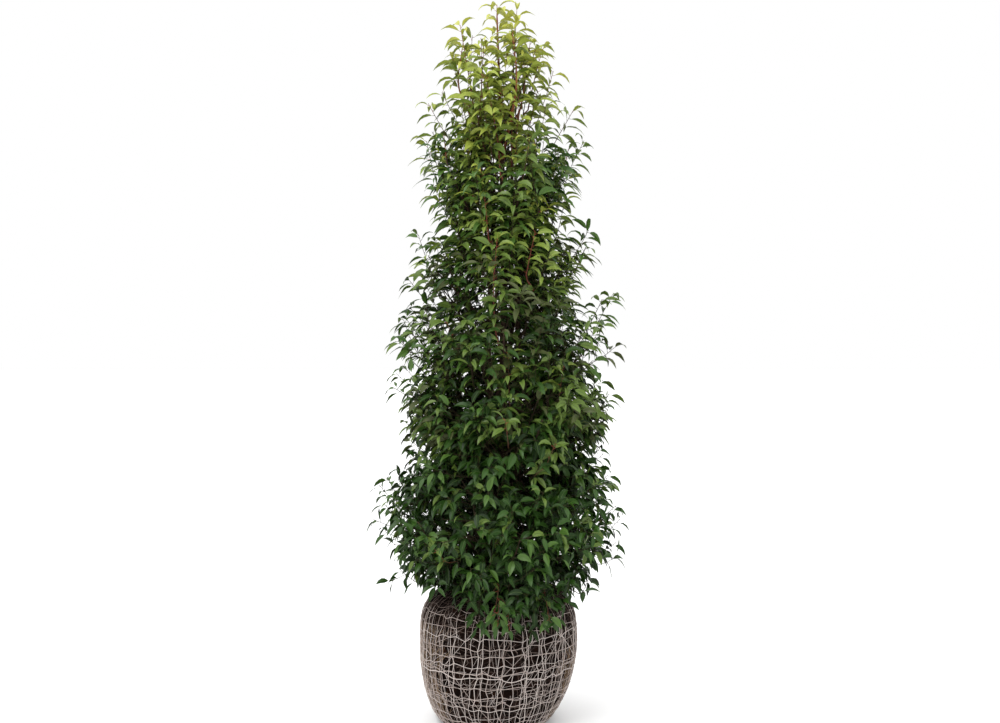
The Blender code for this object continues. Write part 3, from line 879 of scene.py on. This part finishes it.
HIGH_TIP_CROWDING, LOW_CROWDINGS, LOW_TIP_FADE = 0.55, (1.15, 0.42), (0.45, 0.90)
Habit = namedtuple("Habit", "bare tip_spread droops tip_size")
LOW_HABIT = Habit((0.10, 0.22), 58.0, (0.8, 2.0), 0.84)
UPPER_HABIT = Habit((0.10, 0.22), 44.0, (1.1, 2.1), 0.74)
CROWN_HABIT = Habit((0.24, 0.42), 44.0, (1.1, 2.1), 0.74)

Leaf = namedtuple("Leaf", "point way face length width droop fold tone near_tip level younger depth")
leaves = []


def inside_any(point, gaps, more):
    """Whether the camera sees a point inside one of the ellipses, widened by some pixels."""
    px, py = pixel_of(point)
    return any(
        ((px - x) / (wide + more)) ** 2 + ((py - y) / (high + more)) ** 2 < 1.0
        for x, y, wide, high in gaps
    )


def closes_gap(base, way, length):
    """Whether a leaf there would close one of the gaps."""
    middle = base + (way + LEAF_SAG * DOWN) * (0.5 * length)
    if middle[1] < HOLLOW_BACK and inside_any(middle, HOLLOWS, 0.0):
        return True
    along = (base + (way + share * DOWN) * (share * length) for share in LEAF_SHARES)
    return any(inside_any(point, CLEAR_GAPS, CLEAR_GAP_MARGIN) for point in along)


def dress(shoot):
    """Deals out the leaves of one shoot, in a spiral, with a tuft of young ones at the tip."""
    path, level, tone, scale, younger = shoot
    high = level >= UPPER_LEVEL
    habit = CROWN_HABIT if level == CROWN_LEVEL else UPPER_HABIT if high else LOW_HABIT
    lengths = lengths_along(path)
    whole = lengths[-1]
    at = draw.uniform(*habit.bare) * whole
    turn = draw.uniform(0.0, FULL_TURN)
    while at <= whole:
        near_tip = at / whole
        point = points_at(path, lengths, at)
        i = min(len(path) - 2, max(0, int(np.searchsorted(lengths, at)) - 1))
        axis = unit(path[i + 1] - path[i])
        side = unit(np.cross(axis, ANY_WAY))
        radial = side * math.cos(turn) + np.cross(axis, side) * math.sin(turn)
        spread = lerp(LOW_SPREAD, habit.tip_spread, near_tip**3)
        spread = math.radians(spread + draw.uniform(-SPREAD_JITTER, SPREAD_JITTER))
        way = unit(axis * math.cos(spread) + radial * math.sin(spread))
        off = point - lean(point[2])
        outward = unit((off[0], off[1], 0.0))
        face = unit(FACE_AXIS * unit(axis - way * axis.dot(way)) + FACE_UP * UP + FACE_OUT * outward)
        long = fade(SHORT_LEAF_BELOW_Z, LONG_LEAF_ABOVE_Z, point[2])
        roll = min(ROLL_MOST, max(-ROLL_MOST, draw.gauss(0.0, lerp(ROLL_LOW, ROLL_HIGH, long))))
        face = face * math.cos(roll) + unit(np.cross(way, face)) * math.sin(roll)
        size = scale * draw.uniform(*SIZES) * lerp(1.0, habit.tip_size, near_tip**4)
        size *= lerp(SMALL_BELOW, 1.0, fade(*SMALL_FADE, point[2]))
        droop = draw.uniform(*habit.droops)
        length = LEAF_LENGTH * size * lerp(LENGTH_LOW, LENGTH_HIGH, long)
        wide = lerp(WIDTH_LOW, WIDTH_HIGH, long) + WIDTH_TOP * fade(*TOP_FADE, point[2])
        width = LEAF_WIDTH * size * wide * draw.uniform(*WIDTHS)
        fold = math.radians(draw.uniform(*FOLDS))
        if not closes_gap(point, way, length):
            depth = float(np.hypot(off[0], off[1])) / crown_radius(point[2])
            bearing = (point, way, face, length, width, droop, fold)
            leaves.append(Leaf(*bearing, tone, near_tip, level, younger, depth))
        turn += GOLDEN_ANGLE + draw.uniform(-TURN_JITTER, TURN_JITTER)
        if high:
            crowding = lerp(1.0, HIGH_TIP_CROWDING, near_tip**4)
        else:
            crowding = lerp(*LOW_CROWDINGS, fade(*LOW_TIP_FADE, near_tip))
        at += LEAF_PITCHES[level] * draw.uniform(*PITCHES) * crowding


for shoot in shoots:
    dress(shoot)

# The greens of the blades, from the youngest to the oldest, and a grey-olive one at the end: partly the
# leaves' own colour, partly a painted sheen on glossy leaves
BLADES = (
    (168, 171, 74),
    (136, 148, 60),
    (106, 125, 50),
    (85, 106, 43),
    (63, 92, 33),
    (44, 74, 22),
    (32, 59, 15),
    (23, 43, 11),
    # grey-olive: the leaves' own colour with a painted sheen
    (70, 77, 44),
)
GREY_LEAF_AND_SHEEN = len(BLADES) - 1
OLDEST = GREY_LEAF_AND_SHEEN - 1
MATTER_FROM = 6
RIB_YOUNG, RIB_GREEN = len(BLADES), len(BLADES) + 1
YOUNG_RIB_UP_TO = 2
leaf_materials = [
    plain(f"blade_{i + 1}", srgb(*green), 0.42, 0.18 if i >= MATTER_FROM else 0.27)
    for i, green in enumerate(BLADES)
]
leaf_materials += [
    plain("rib_young", srgb(142, 150, 72), 0.5, 0.2),
    plain("rib_green", srgb(62, 82, 38), 0.5, 0.2),
]
stalk_materials = [
    plain("stalk_red", srgb(132, 58, 36), 0.5, 0.3),
    plain("stalk_green", srgb(52, 52, 24), 0.5, 0.15),
]

# How much darker the leaves are made by height, lighter where the amount is below 0: an amount, and the
# heights between which it fades in. The first, at the hem that hangs over the ball, is painted shade under
# the crown
DARKER_BY_HEIGHT = (
    # painted shade at the hem, under the crown
    (1.15, (0.70, 0.53)),
    (0.10, (1.0, 0.7)),
    (-0.25, (0.9, 1.15), (1.85, 1.7)),
    (-0.30, (0.85, 1.1), (1.35, 1.2)),
    (0.50, (1.7, 1.85), (2.2, 2.0)),
    (0.30, (2.15, 2.35)),
)
OUTSIDE_OLDER = (0.8, (1.75, 1.85), (2.35, 2.2))
OUTSIDE_FADE, INSIDE_FADE = (0.45, 0.80), (0.85, 0.55)  # by depth, which is 1 at the outline
# Leaves deep inside the crown are darker, more so low down: partly older leaves, partly painted shade in the
# hollows
INSIDE_AGE_AND_SHADE, INSIDE_HEIGHTS = (0.9, 0.35), (0.9, 1.4)
MIDDLE_RANK, RANKS_PER_AGE = 4.65, 1.2
YOUNG_MOST, YOUNG_HEIGHTS = 3.8, (1.28, 2.46)
TIP_EFFECT, TIP_TONE = 1.3, 0.6
TONE_EFFECTS, TONE_HEIGHTS = (2.2, 1.6), (1.3, 1.9)
CHANCE_EFFECT, YOUNGER_EFFECT = 0.7, 1.4
LOW_OLDER, LOW_HEIGHTS = 0.5, (1.1, 0.8)
BRIGHT_TONE, BRIGHT_BELOW_Z, BRIGHT_EFFECT = 0.94, 1.5, 1.0
DARK_TONE, DARK_BELOW_Z, DARK_EFFECT = 0.20, 2.0, 1.2
GREY_LEAF_AND_SHEEN_HEIGHTS, GREY_LEAF_AND_SHEEN_TONES = (0.95, 1.65), (0.20, 0.36)
FRESH_ABOVE = (2.25, 1.75, 1.5)  # the heights from which each of the first greens is used
FRESH_SHOOT, FRESH_SHOOT_ABOVE_Z = 1.0, 1.15
YOUNG_STEM = 0.5


def by_height(z, amount, *spans):
    return amount * math.prod(fade(*span, z) for span in spans)


def freshest(z, younger):
    """The number of the youngest green that a leaf may take."""
    rank = sum(z <= height for height in FRESH_ABOVE)
    return 2 if rank == 3 and z > FRESH_SHOOT_ABOVE_Z and younger > FRESH_SHOOT else rank


def tone_of(leaf, chance):
    """Which green a leaf takes, from its height, its depth, its spray's own tone and its age, with painted
    shade at the hem and deep inside the crown, and a painted sheen in the grey-olive green.
    """
    z, tone = leaf.point[2], leaf.tone
    young = fade(*YOUNG_HEIGHTS, z) * YOUNG_MOST + TIP_EFFECT * leaf.near_tip**2 * (tone > TIP_TONE)
    young += lerp(*TONE_EFFECTS, fade(*TONE_HEIGHTS, z)) * (tone - 0.5)
    young += CHANCE_EFFECT * (chance - 0.5) + YOUNGER_EFFECT * leaf.younger
    young -= LOW_OLDER * fade(*LOW_HEIGHTS, z)
    if tone > BRIGHT_TONE and z < BRIGHT_BELOW_Z:
        young += BRIGHT_EFFECT
    # The grey-olive green: some leaves' own colour, with a painted sheen
    grey_and_sheen = GREY_LEAF_AND_SHEEN_HEIGHTS[0] < z < GREY_LEAF_AND_SHEEN_HEIGHTS[1] and GREY_LEAF_AND_SHEEN_TONES[0] < tone < GREY_LEAF_AND_SHEEN_TONES[1]
    if grey_and_sheen and leaf.younger == 0.0:
        return GREY_LEAF_AND_SHEEN
    rank = MIDDLE_RANK - young * RANKS_PER_AGE
    # darker and lighter greens by height, with painted shade at the hem
    rank += sum(by_height(z, *darkening) for darkening in DARKER_BY_HEIGHT)
    rank += by_height(z, *OUTSIDE_OLDER) * fade(*OUTSIDE_FADE, leaf.depth)
    # darker deep inside the crown: age, with painted shade
    rank += lerp(*INSIDE_AGE_AND_SHADE, fade(*INSIDE_HEIGHTS, z)) * fade(*INSIDE_FADE, leaf.depth)
    if tone < DARK_TONE and z < DARK_BELOW_Z:
        rank += DARK_EFFECT
    return int(min(OLDEST, max(freshest(z, leaf.younger), round(rank))))


# The mesh of a leaf: rows of four points from its base to its tip, with the rib between
STATIONS = np.array((0.0, 0.09, 0.25, 0.45, 0.67, 0.87, 1.0))
HALF_WIDTHS = np.array((0.0, 0.48, 0.93, 1.0, 0.71, 0.27, 0.0))
RIB_WIDTHS = np.array((1.0, 1.0, 0.9, 0.75, 0.6, 0.4, 0.0))
INNER_ROWS = len(STATIONS) - 2
LEAF_POINTS = 2 + 4 * INNER_ROWS + 1
RIB_HALF = 0.0008
DROOP_POWER = 1.25
MOST_SWAY = 0.25
EDGE_WAVE = 0.10
UNFOLDING = 0.45
STALK_LENGTH, STALK_DROOP = 0.011, 0.10
STALK_RADIUS = 0.0009
STALK_SUNK = 0.0012
STALK_TAPER = (1.15, 0.8)
BOX_SHARE, BOX_MARGIN, FLOOR_MARGIN = 0.025, 0.008, 0.001


def leaf_faces():
    """The faces of one leaf, whether each is on the rib, and the edges along the rib."""

    def row(i):
        return 2 + 4 * i

    tip, last = row(INNER_ROWS), row(INNER_ROWS - 1)
    quads, quad_rib = [(0, 1, row(0) + 2, row(0) + 1)], [1]
    for i in range(INNER_ROWS - 1):
        for k in range(3):
            quads.append((row(i) + k, row(i) + k + 1, row(i + 1) + k + 1, row(i + 1) + k))
            quad_rib.append(k == 1)
    thirds, third_rib = [(0, row(0) + 1, row(0)), (1, row(0) + 3, row(0) + 2)], [0, 0]
    for k in range(3):
        thirds.append((last + k, last + k + 1, tip))
        third_rib.append(k == 1)
    lines = [[side] + [row(i) + 1 + side for i in range(INNER_ROWS)] + [tip] for side in (0, 1)]
    creases = [pair for line in lines for pair in zip(line, line[1:])]
    return np.array(quads), np.array(quad_rib, bool), np.array(thirds), np.array(third_rib, bool), creases


def leaf_shapes(leaf, rng):
    """The points of every leaf, and the ends of their stalks."""
    count = len(leaf.length)
    across = unit(np.cross(leaf.face, leaf.way))
    sway = rng.uniform(-MOST_SWAY, MOST_SWAY, count)

    def ahead(t):
        drooping = (leaf.droop * t**DROOP_POWER)[:, None] * DOWN
        return unit(leaf.way + drooping + (sway * t)[:, None] * across)

    stalk_end = leaf.point + unit(leaf.way + STALK_DROOP * leaf.droop[:, None] * DOWN) * STALK_LENGTH
    at = stalk_end.copy()
    points = np.empty((count, LEAF_POINTS, 3))
    before = 0.0
    for i, t in enumerate(STATIONS):
        at = at + ahead(0.5 * (t + before)) * ((t - before) * leaf.length)[:, None]
        way = ahead(t)
        side = unit(across - way * np.einsum("ij,ij->i", across, way)[:, None])
        upper = np.cross(way, side)
        rib = side * (RIB_HALF * RIB_WIDTHS[i])
        lift = leaf.fold * (1.0 - UNFOLDING * t)
        half = 0.5 * leaf.width * HALF_WIDTHS[i]
        wave_a, wave_b = rng.normal(0.0, EDGE_WAVE, count), rng.normal(0.0, EDGE_WAVE, count)
        flat = side * (half * np.cos(lift))[:, None]
        left = -flat + upper * (half * (np.sin(lift) + wave_a))[:, None]
        right = flat + upper * (half * (np.sin(lift) + wave_b))[:, None]
        if i == 0:
            points[:, 0], points[:, 1] = at - rib, at + rib
        elif t == 1.0:
            points[:, -1] = at
        else:
            first = 2 + 4 * (i - 1)
            points[:, first:first + 4] = np.stack((at - rib + left, at - rib, at + rib, at + rib + right), 1)
        before = t
    return points, stalk_end


def within_box(points):
    """Which leaves stay in the frame's box, with a little more at the sides and the top."""
    low, high = np.array(CAD_LOW), np.array(CAD_HIGH)
    more = BOX_SHARE * (high - low) + BOX_MARGIN
    low = np.append((low - more)[:2], low[2] + FLOOR_MARGIN)
    return ((points.min(1) > low) & (points.max(1) < high + more)).all(1)


def blades_of(level, points, tones):
    """The piece that holds the leaves of one tier."""
    quads, quad_rib, thirds, third_rib, creases = leaf_faces()
    shift = (np.arange(len(points)) * LEAF_POINTS)[:, None, None]
    rib_slot = np.where(tones <= YOUNG_RIB_UP_TO, RIB_YOUNG, RIB_GREEN)[:, None]
    pile = Pile()
    pile.add(points, (quads + shift).reshape(-1, 4), np.where(quad_rib, rib_slot, tones[:, None]).ravel())
    pile.more((thirds + shift).reshape(-1, 3), np.where(third_rib, rib_slot, tones[:, None]).ravel())
    replaced = [f"foliage_{mass.label}" for mass in masses if mass.level == level]
    if level == CROWN_LEVEL:
        replaced.append("foliage_leader_tuft")
    pile.piece(f"leaves_{TIER_NAMES[level]}", leaf_materials, replaced, (LEAF_POINTS, creases))


def stalks_of(bases, ways, ends, red):
    """The piece that holds the stalks, each a prism of three sides that thins to the leaf."""
    bases = bases - ways * STALK_SUNK
    along = unit(ends - bases)
    side = unit(np.cross(along, OTHER_WAY))
    other = np.cross(along, side)
    corners = []
    for end, share in zip((bases, ends), STALK_TAPER):
        for k in range(3):
            angle = FULL_TURN * k / 3
            corners.append(end + (side * math.cos(angle) + other * math.sin(angle)) * STALK_RADIUS * share)
    shift = (np.arange(len(bases)) * 6)[:, None, None]
    walls = np.array([(0, 1, 4, 3), (1, 2, 5, 4), (2, 0, 3, 5)])
    caps = np.array([(2, 1, 0), (3, 4, 5)])
    slots = np.where(red, 0, 1)
    pile = Pile()
    pile.add(np.stack(corners, 1), (walls + shift).reshape(-1, 4), np.repeat(slots, 3))
    pile.more((caps + shift).reshape(-1, 3), np.repeat(slots, 2))
    pile.piece("leaf_stalks", stalk_materials, [])


def leaf_pieces():
    rng = np.random.default_rng(LEAF_SEED)
    tones = np.array([tone_of(leaf, chance) for leaf, chance in zip(leaves, rng.random(len(leaves)))])
    leaf = Leaf(*(np.array(values) for values in zip(*leaves)))
    points, stalk_ends = leaf_shapes(leaf, rng)
    kept = within_box(points)
    for level in range(len(TIERS)):
        chosen = kept & (leaf.level == level)
        blades_of(level, points[chosen], tones[chosen])
    red = (tones <= 1) | (leaf.younger >= YOUNG_STEM)
    stalks_of(leaf.point[kept], leaf.way[kept], stalk_ends[kept], red[kept])


leaf_pieces()

# Twigs as tubes, thicker the more they carry
TWIG_SIDES = 4
TWIG_TIP_RADIUS = 0.0008
THINNEST_TWIG, TWIG_PER_LOAD, LOAD_POWER, TWIG_TAPER_POWER = 0.0010, 0.00060, 0.6, 0.8
STANDING_STEM = 2.0  # how much thicker the young stems of the crown are
FEW = 3
BROWN, RED, RUSTY = range(3)
twig_materials = [
    plain("twig_brown", srgb(44, 36, 23), 0.7, 0.15),
    plain("twig_red", srgb(112, 58, 42), 0.55, 0.3),
    plain("twig_rusty", srgb(84, 56, 36), 0.6, 0.3),
]


def twig_tone(twig, load):
    young = twig.younger >= YOUNG_STEM
    if young and twig.level >= UPPER_LEVEL:
        return RED
    return RUSTY if load <= FEW and (young or twig.level == CROWN_LEVEL) else BROWN


def twig_piece():
    load = np.ones(len(twigs))
    for number in range(len(twigs) - 1, -1, -1):
        if twigs[number].parent >= 0:
            load[twigs[number].parent] += load[number]
    pile = Pile()
    for twig, carried in zip(twigs, load):
        tone = twig_tone(twig, carried)
        thick = THINNEST_TWIG + TWIG_PER_LOAD * carried**LOAD_POWER
        thick *= STANDING_STEM if tone == RED else 1.0
        share = np.linspace(0.0, 1.0, len(twig.path))
        radii = lerp(thick, TWIG_TIP_RADIUS, share**TWIG_TAPER_POWER)
        tube(pile, twig.path, radii, TWIG_SIDES, tone)
    pile.piece("twigs", twig_materials, [])


twig_piece()

# Root ball
PROFILE_STEPS = 60
FOOT_CROWDING = 1.5
SLOPE_REACH = 0.004
SOIL_COLUMNS, SOIL_ROWS = 200, 96
SOIL_GRAIN, SOIL_SUNK, SOIL_RELIEF = 38.0, -0.0025, 0.0045
SOIL_EVEN_UP_TO = 0.03
SOIL_STOPS = (
    (0.32, srgb(7, 4, 3)),
    (0.52, srgb(18, 10, 7)),
    (0.68, srgb(38, 22, 15)),
    (0.88, srgb(78, 54, 40)),
)
soil = patterned("soil", SOIL_STOPS, 46.0, 0.95, 1.0, 260.0, (1.0, 1.0, 1.0), 0.04)


def ball_profile():
    """Height, radius, sideways shift and unevenness along the ball's side, from foot to neck."""
    rows = []
    for rise in np.linspace(0.0, 1.0, PROFILE_STEPS) ** FOOT_CROWDING:
        swell = (1.0 - (1.0 - rise) ** 2) ** FOOT_POWER
        z = BALL_WIDEST_Z * rise
        uneven = BALL_UNEVEN * fade(0.0, BALL_EVEN_BELOW_Z, z)
        rows.append((z, lerp(FOOT_RADIUS, BALL_RADIUS, swell), FOOT_SHIFT * (1.0 - rise), uneven))
    last_rise = (1.0 - (BALL_TOP_FLAT / BALL_RADIUS) ** SHOULDER_POWER) ** (1.0 / SHOULDER_POWER)
    for share in np.linspace(0.0, 1.0, PROFILE_STEPS)[1:]:
        rise = last_rise * math.sin(0.5 * math.pi * share)
        radius = BALL_RADIUS * (1.0 - rise**SHOULDER_POWER) ** (1.0 / SHOULDER_POWER)
        rows.append((lerp(BALL_WIDEST_Z, BALL_HEIGHT, rise), radius, 0.0, BALL_UNEVEN * (1.0 - share)))
    return np.array(rows)


PROFILE = ball_profile()
PROFILE_LENGTH = lengths_along(PROFILE[:, :2])
GIRTH_LENGTH = float(PROFILE_LENGTH[-1])


def ball_point(angle, along, lift):
    """Points on the ball at an azimuth and a length along its side, lifted off the soil."""
    z, radius, shift, uneven = points_at(PROFILE, PROFILE_LENGTH, along).T
    after = points_at(PROFILE, PROFILE_LENGTH, along + SLOPE_REACH)
    before = points_at(PROFILE, PROFILE_LENGTH, along - SLOPE_REACH)
    ahead, wider = (after - before).T[:2]
    size = np.maximum(np.hypot(ahead, wider), 1e-9)
    wave = np.sin(2.0 * angle) + BALL_SECOND_WAVE * np.sin(3.0 * angle + BALL_WAVE_TWIST * z)
    out = radius * (1.0 + uneven * wave) + lift * ahead / size
    return np.stack((shift + out * np.cos(angle), out * np.sin(angle), z - lift * wider / size), -1)


def soil_piece():
    angles = FULL_TURN * np.arange(SOIL_COLUMNS) / SOIL_COLUMNS
    rows = []
    for along in np.linspace(0.0, GIRTH_LENGTH, SOIL_ROWS):
        level_line = np.full(SOIL_COLUMNS, along)
        smooth_ring = ball_point(angles, level_line, 0.0)
        grain = np.array([noise.fractal(Vector(p) * SOIL_GRAIN, 1.0, 2.0, 4) for p in smooth_ring])
        lift = fade(0.0, SOIL_EVEN_UP_TO, along) * (SOIL_SUNK + SOIL_RELIEF * grain)
        rows.append(ball_point(angles, level_line, lift))
    quads, ends = ring_faces(SOIL_ROWS, SOIL_COLUMNS)
    pile = Pile()
    pile.add(np.stack(rows), quads, 0)
    pile.more(ends, 0)
    pile.piece("root_ball_soil", [soil], ["root_ball"])


soil_piece()

# Jute net
TAN_STRETCH = (math.radians(188.0), math.radians(226.0))
# The ball's right side, away from the key light, where darker strands are painted shade
SHADED_SIDE_STRETCH = (math.radians(326.0), math.radians(372.0))
JUTE_TONES = (
    (198, 187, 181),
    (174, 161, 154),
    (128, 114, 106),
    (84, 70, 64),
    (132, 110, 86),
    (56, 45, 40),
)
jutes = [plain(f"jute_{i + 1}", srgb(*tone), 0.9, 0.15) for i, tone in enumerate(JUTE_TONES)]
# Under the hem of the skirt the strands thin, and each tone gives way to a darker one, in two steps: painted
# shade beneath the crown
SHADED_TONES = np.array(((0, 1, 2, 3, 4, 5), (1, 2, 3, 3, 3, 5), (2, 3, 3, 5, 3, 5)))
SHADE_STEPS = (0.15, 0.40)
THIN_FROM, THIN_OVER = 0.56, 0.17
# Rows higher than this share of the girth take at least a darker tone: painted shade under the crown, near
# the neck
SHADED_ROWS_FROM = 0.70
FOOT_GAP, NECK_GAP, FLOOR_GAP = 0.002, 0.001, 0.0002
UNEVEN_STRAND, STRAND_WAVES, THINNEST_STRAND = 0.22, 12, 0.3
NECK_STEPS = ((0.006, 0.006), (-0.002, 0.014))  # outside the tie, and above the ball
NECK_END_OUT, NECK_END_RISE, NECK_TWIST = 0.006, 0.024, 0.1
ROUND_LIFT = 0.0009  # by which strands round the ball lie over those that go up it
SHADED_ROW_TONE = 2
SLANT_POINTS, SLANT_LIFT, SLANT_RADII = 18, 0.0026, (0.0006, 0.0011)
LOOSE_LIFT, LOOSE_TIP_LIFT, LOOSE_RADIUS = 0.0012, 0.006, 0.0005
STEEP_RADIUS = 0.0008
CELL_SHIFT, COLUMN_DRIFT, ROW_SAG = 0.30, 0.52, 0.40
TIE_RADIUS = 0.040
TIE_STRAND = 0.0016
TIE_TURNS, TIE_POINTS, TIE_RISE, TIE_PITCH = 3, 90, 0.012, 0.0022
net_draw = random.Random(NET_SEED)
between = net_draw.uniform
net_pile = Pile()


def wobble(count, amplitude, waves):
    """A slow random wave along a strand."""
    t = np.linspace(0.0, 1.0, count)
    made = np.zeros(count)
    for k in range(1, waves + 1):
        size = math.sqrt(1.0 / k) * net_draw.gauss(0.0, 1.0)
        made += size * np.sin(math.pi * k * t + between(0, 6.28))
    return amplitude * made / math.sqrt(waves)


def strand(angle, along, lift, radius, tone, sides=3, gathered=False):
    """One strand on the ball, which ends in the tie at the neck where it is gathered."""
    along = np.clip(along, FOOT_GAP, GIRTH_LENGTH - NECK_GAP)
    path = ball_point(angle, along, lift)
    path[:, 2] = np.maximum(path[:, 2], radius + FLOOR_GAP)
    thin = 0.5 * np.clip((along / GIRTH_LENGTH - THIN_FROM) / THIN_OVER, 0.0, 1.0)
    if gathered:
        neck = [*NECK_STEPS, (between(0.0, NECK_END_OUT), NECK_END_RISE)]
        last = angle[-1] + between(-NECK_TWIST, NECK_TWIST)
        tied = [polar(TIE_RADIUS + out, last, BALL_HEIGHT + rise) for out, rise in neck]
        path = np.concatenate((path, tied))
        thin = np.append(thin, [thin[-1]] * len(tied))
    radii = radius * (1.0 - thin) * (1.0 + wobble(len(path), UNEVEN_STRAND, STRAND_WAVES))
    # painted shade under the hem: darker tones where the strands thin
    shade = np.searchsorted(SHADE_STEPS, thin[1:])
    radii = np.maximum(radii, THINNEST_STRAND * radius)
    tube(net_pile, path, radii, sides, SHADED_TONES[shade, tone])


def mesh_layer(columns, rows, uneven, lift, radii, tones, sides, steps, missing):
    """Strands up and round the ball that share their knots, so that its cells are uneven."""
    row_at = [(j + 0.5 + between(-CELL_SHIFT, CELL_SHIFT)) / rows for j in range(rows)]
    row_at = np.sort(row_at) * GIRTH_LENGTH
    column_at = [(i + between(-CELL_SHIFT, CELL_SHIFT)) / columns for i in range(columns)]
    column_at = np.array(column_at) * FULL_TURN
    drift = [wobble(rows, COLUMN_DRIFT, 3) for _ in range(columns)]
    sag = [wobble(columns, ROW_SAG, 7) for _ in range(rows)]
    angle, along = np.empty((rows, columns)), np.empty((rows, columns))
    for j in range(rows):
        for i in range(columns):
            aside = drift[i][j] + net_draw.gauss(0.0, uneven)
            angle[j, i] = column_at[i] + aside * FULL_TURN / columns
            along[j, i] = row_at[j] + (sag[j][i] + net_draw.gauss(0.0, uneven)) * GIRTH_LENGTH / rows
    for i in range(columns):
        if net_draw.random() < missing:
            continue
        a = smooth_curve(np.concatenate(([angle[0, i]], angle[:, i], [angle[-1, i]])), steps)
        s = smooth_curve(np.concatenate(([FOOT_GAP], along[:, i], [GIRTH_LENGTH])), steps)
        strand(a, s, lift, between(*radii), net_draw.choice(tones), sides, gathered=sides == 4)
    for j in range(rows):
        if net_draw.random() < missing:
            continue
        steps_round = net_draw.randrange(columns) + np.arange(columns + 1)
        order = steps_round % columns
        a = smooth_curve(angle[j, order] + FULL_TURN * (steps_round // columns), steps)
        s = smooth_curve(along[j, order], steps)
        tone = net_draw.choice(tones)
        # painted shade: rows near the neck take a darker tone
        if row_at[j] > SHADED_ROWS_FROM * GIRTH_LENGTH:
            tone = max(tone, SHADED_ROW_TONE)
        strand(a, s, lift + ROUND_LIFT, between(*radii), tone, sides)


def slanting_strands(count):
    """Long loose strands that cross the net at a slant."""
    share = np.linspace(0.0, 1.0, SLANT_POINTS)
    for _ in range(count):
        span = between(0.15, 0.9) * net_draw.choice((-1, 1))
        middle, half = between(0.1, 0.9) * GIRTH_LENGTH, between(0.04, 0.16)
        angle = between(0.0, FULL_TURN) + span * share
        along = middle + lerp(-half, half, share) + wobble(SLANT_POINTS, 0.004, 4)
        strand(angle, along, SLANT_LIFT, between(*SLANT_RADII), net_draw.choice((0, 1, 1, 2)))


def loose_ends(count):
    """Short fibres that lie every way and stand off the net at their tips."""
    t = np.linspace(0.0, 1.0, 4)
    for _ in range(count):
        start, at = between(0.0, FULL_TURN), between(0.02, 0.98) * GIRTH_LENGTH
        heading, reach = between(0.0, FULL_TURN), between(0.010, 0.036)
        angle = start + t * reach * math.cos(heading) / BALL_RADIUS + wobble(len(t), 0.008, 2)
        along = at + t * reach * math.sin(heading)
        lift = LOOSE_LIFT + between(0.0, LOOSE_TIP_LIFT) * t**2
        strand(angle, along, lift, LOOSE_RADIUS, net_draw.choice((0, 1, 2, 3, 5)))


def steep_strands(count, stretch, crowding, heights, slant, reaches, lifts, tones):
    """Short strands, up and down, that colour a stretch of the ball's side."""
    t = np.linspace(0.0, 1.0, 5)
    for _ in range(count):
        start = lerp(*stretch, net_draw.random() ** crowding)
        at = between(*heights) * GIRTH_LENGTH
        heading, reach = 0.5 * math.pi + net_draw.gauss(0.0, slant), between(*reaches)
        angle = start + t * reach * math.cos(heading) / BALL_RADIUS + wobble(len(t), 0.01, 2)
        along = at + t * reach * math.sin(heading)
        strand(angle, along, between(*lifts), STEEP_RADIUS, net_draw.choice(tones))


def tie():
    turns = np.linspace(0.0, FULL_TURN * TIE_TURNS, TIE_POINTS)
    rises = BALL_HEIGHT + TIE_RISE + TIE_PITCH * turns / FULL_TURN
    path = [polar(TIE_RADIUS + 0.001, turn, z) for turn, z in zip(turns, rises)]
    tube(net_pile, path, np.full(TIE_POINTS, TIE_STRAND), 5, 1)


mesh_layer(72, 24, 0.16, 0.0020, (0.0010, 0.0015), (0, 0, 0, 1), sides=4, steps=2, missing=0.0)
mesh_layer(72, 30, 0.26, 0.0010, (0.0006, 0.0010), (0, 1, 1, 2, 3, 5), sides=3, steps=1, missing=0.06)
# The deepest layer, nearest the soil, takes the darkest tones: painted shade beneath the outer strands
mesh_layer(60, 26, 0.34, 0.0005, (0.0005, 0.0008), (3, 3, 5, 5, 5), sides=3, steps=1, missing=0.25)
slanting_strands(96)
loose_ends(700)
steep_strands(480, TAN_STRETCH, 1.3, (0.04, 0.55), 0.45, (0.03, 0.09), (0.0008, 0.0022), (4, 4, 4, 2, 5, 1))
# darker strands on the right side of the ball: painted shade
steep_strands(320, SHADED_SIDE_STRETCH, 1.0, (0.02, 0.42), 0.5, (0.03, 0.08), (0.0012, 0.0026), (3, 3, 5, 4))
tie()
net_pile.piece("jute_net", jutes, [])

# The end
bpy.context.view_layer.update()
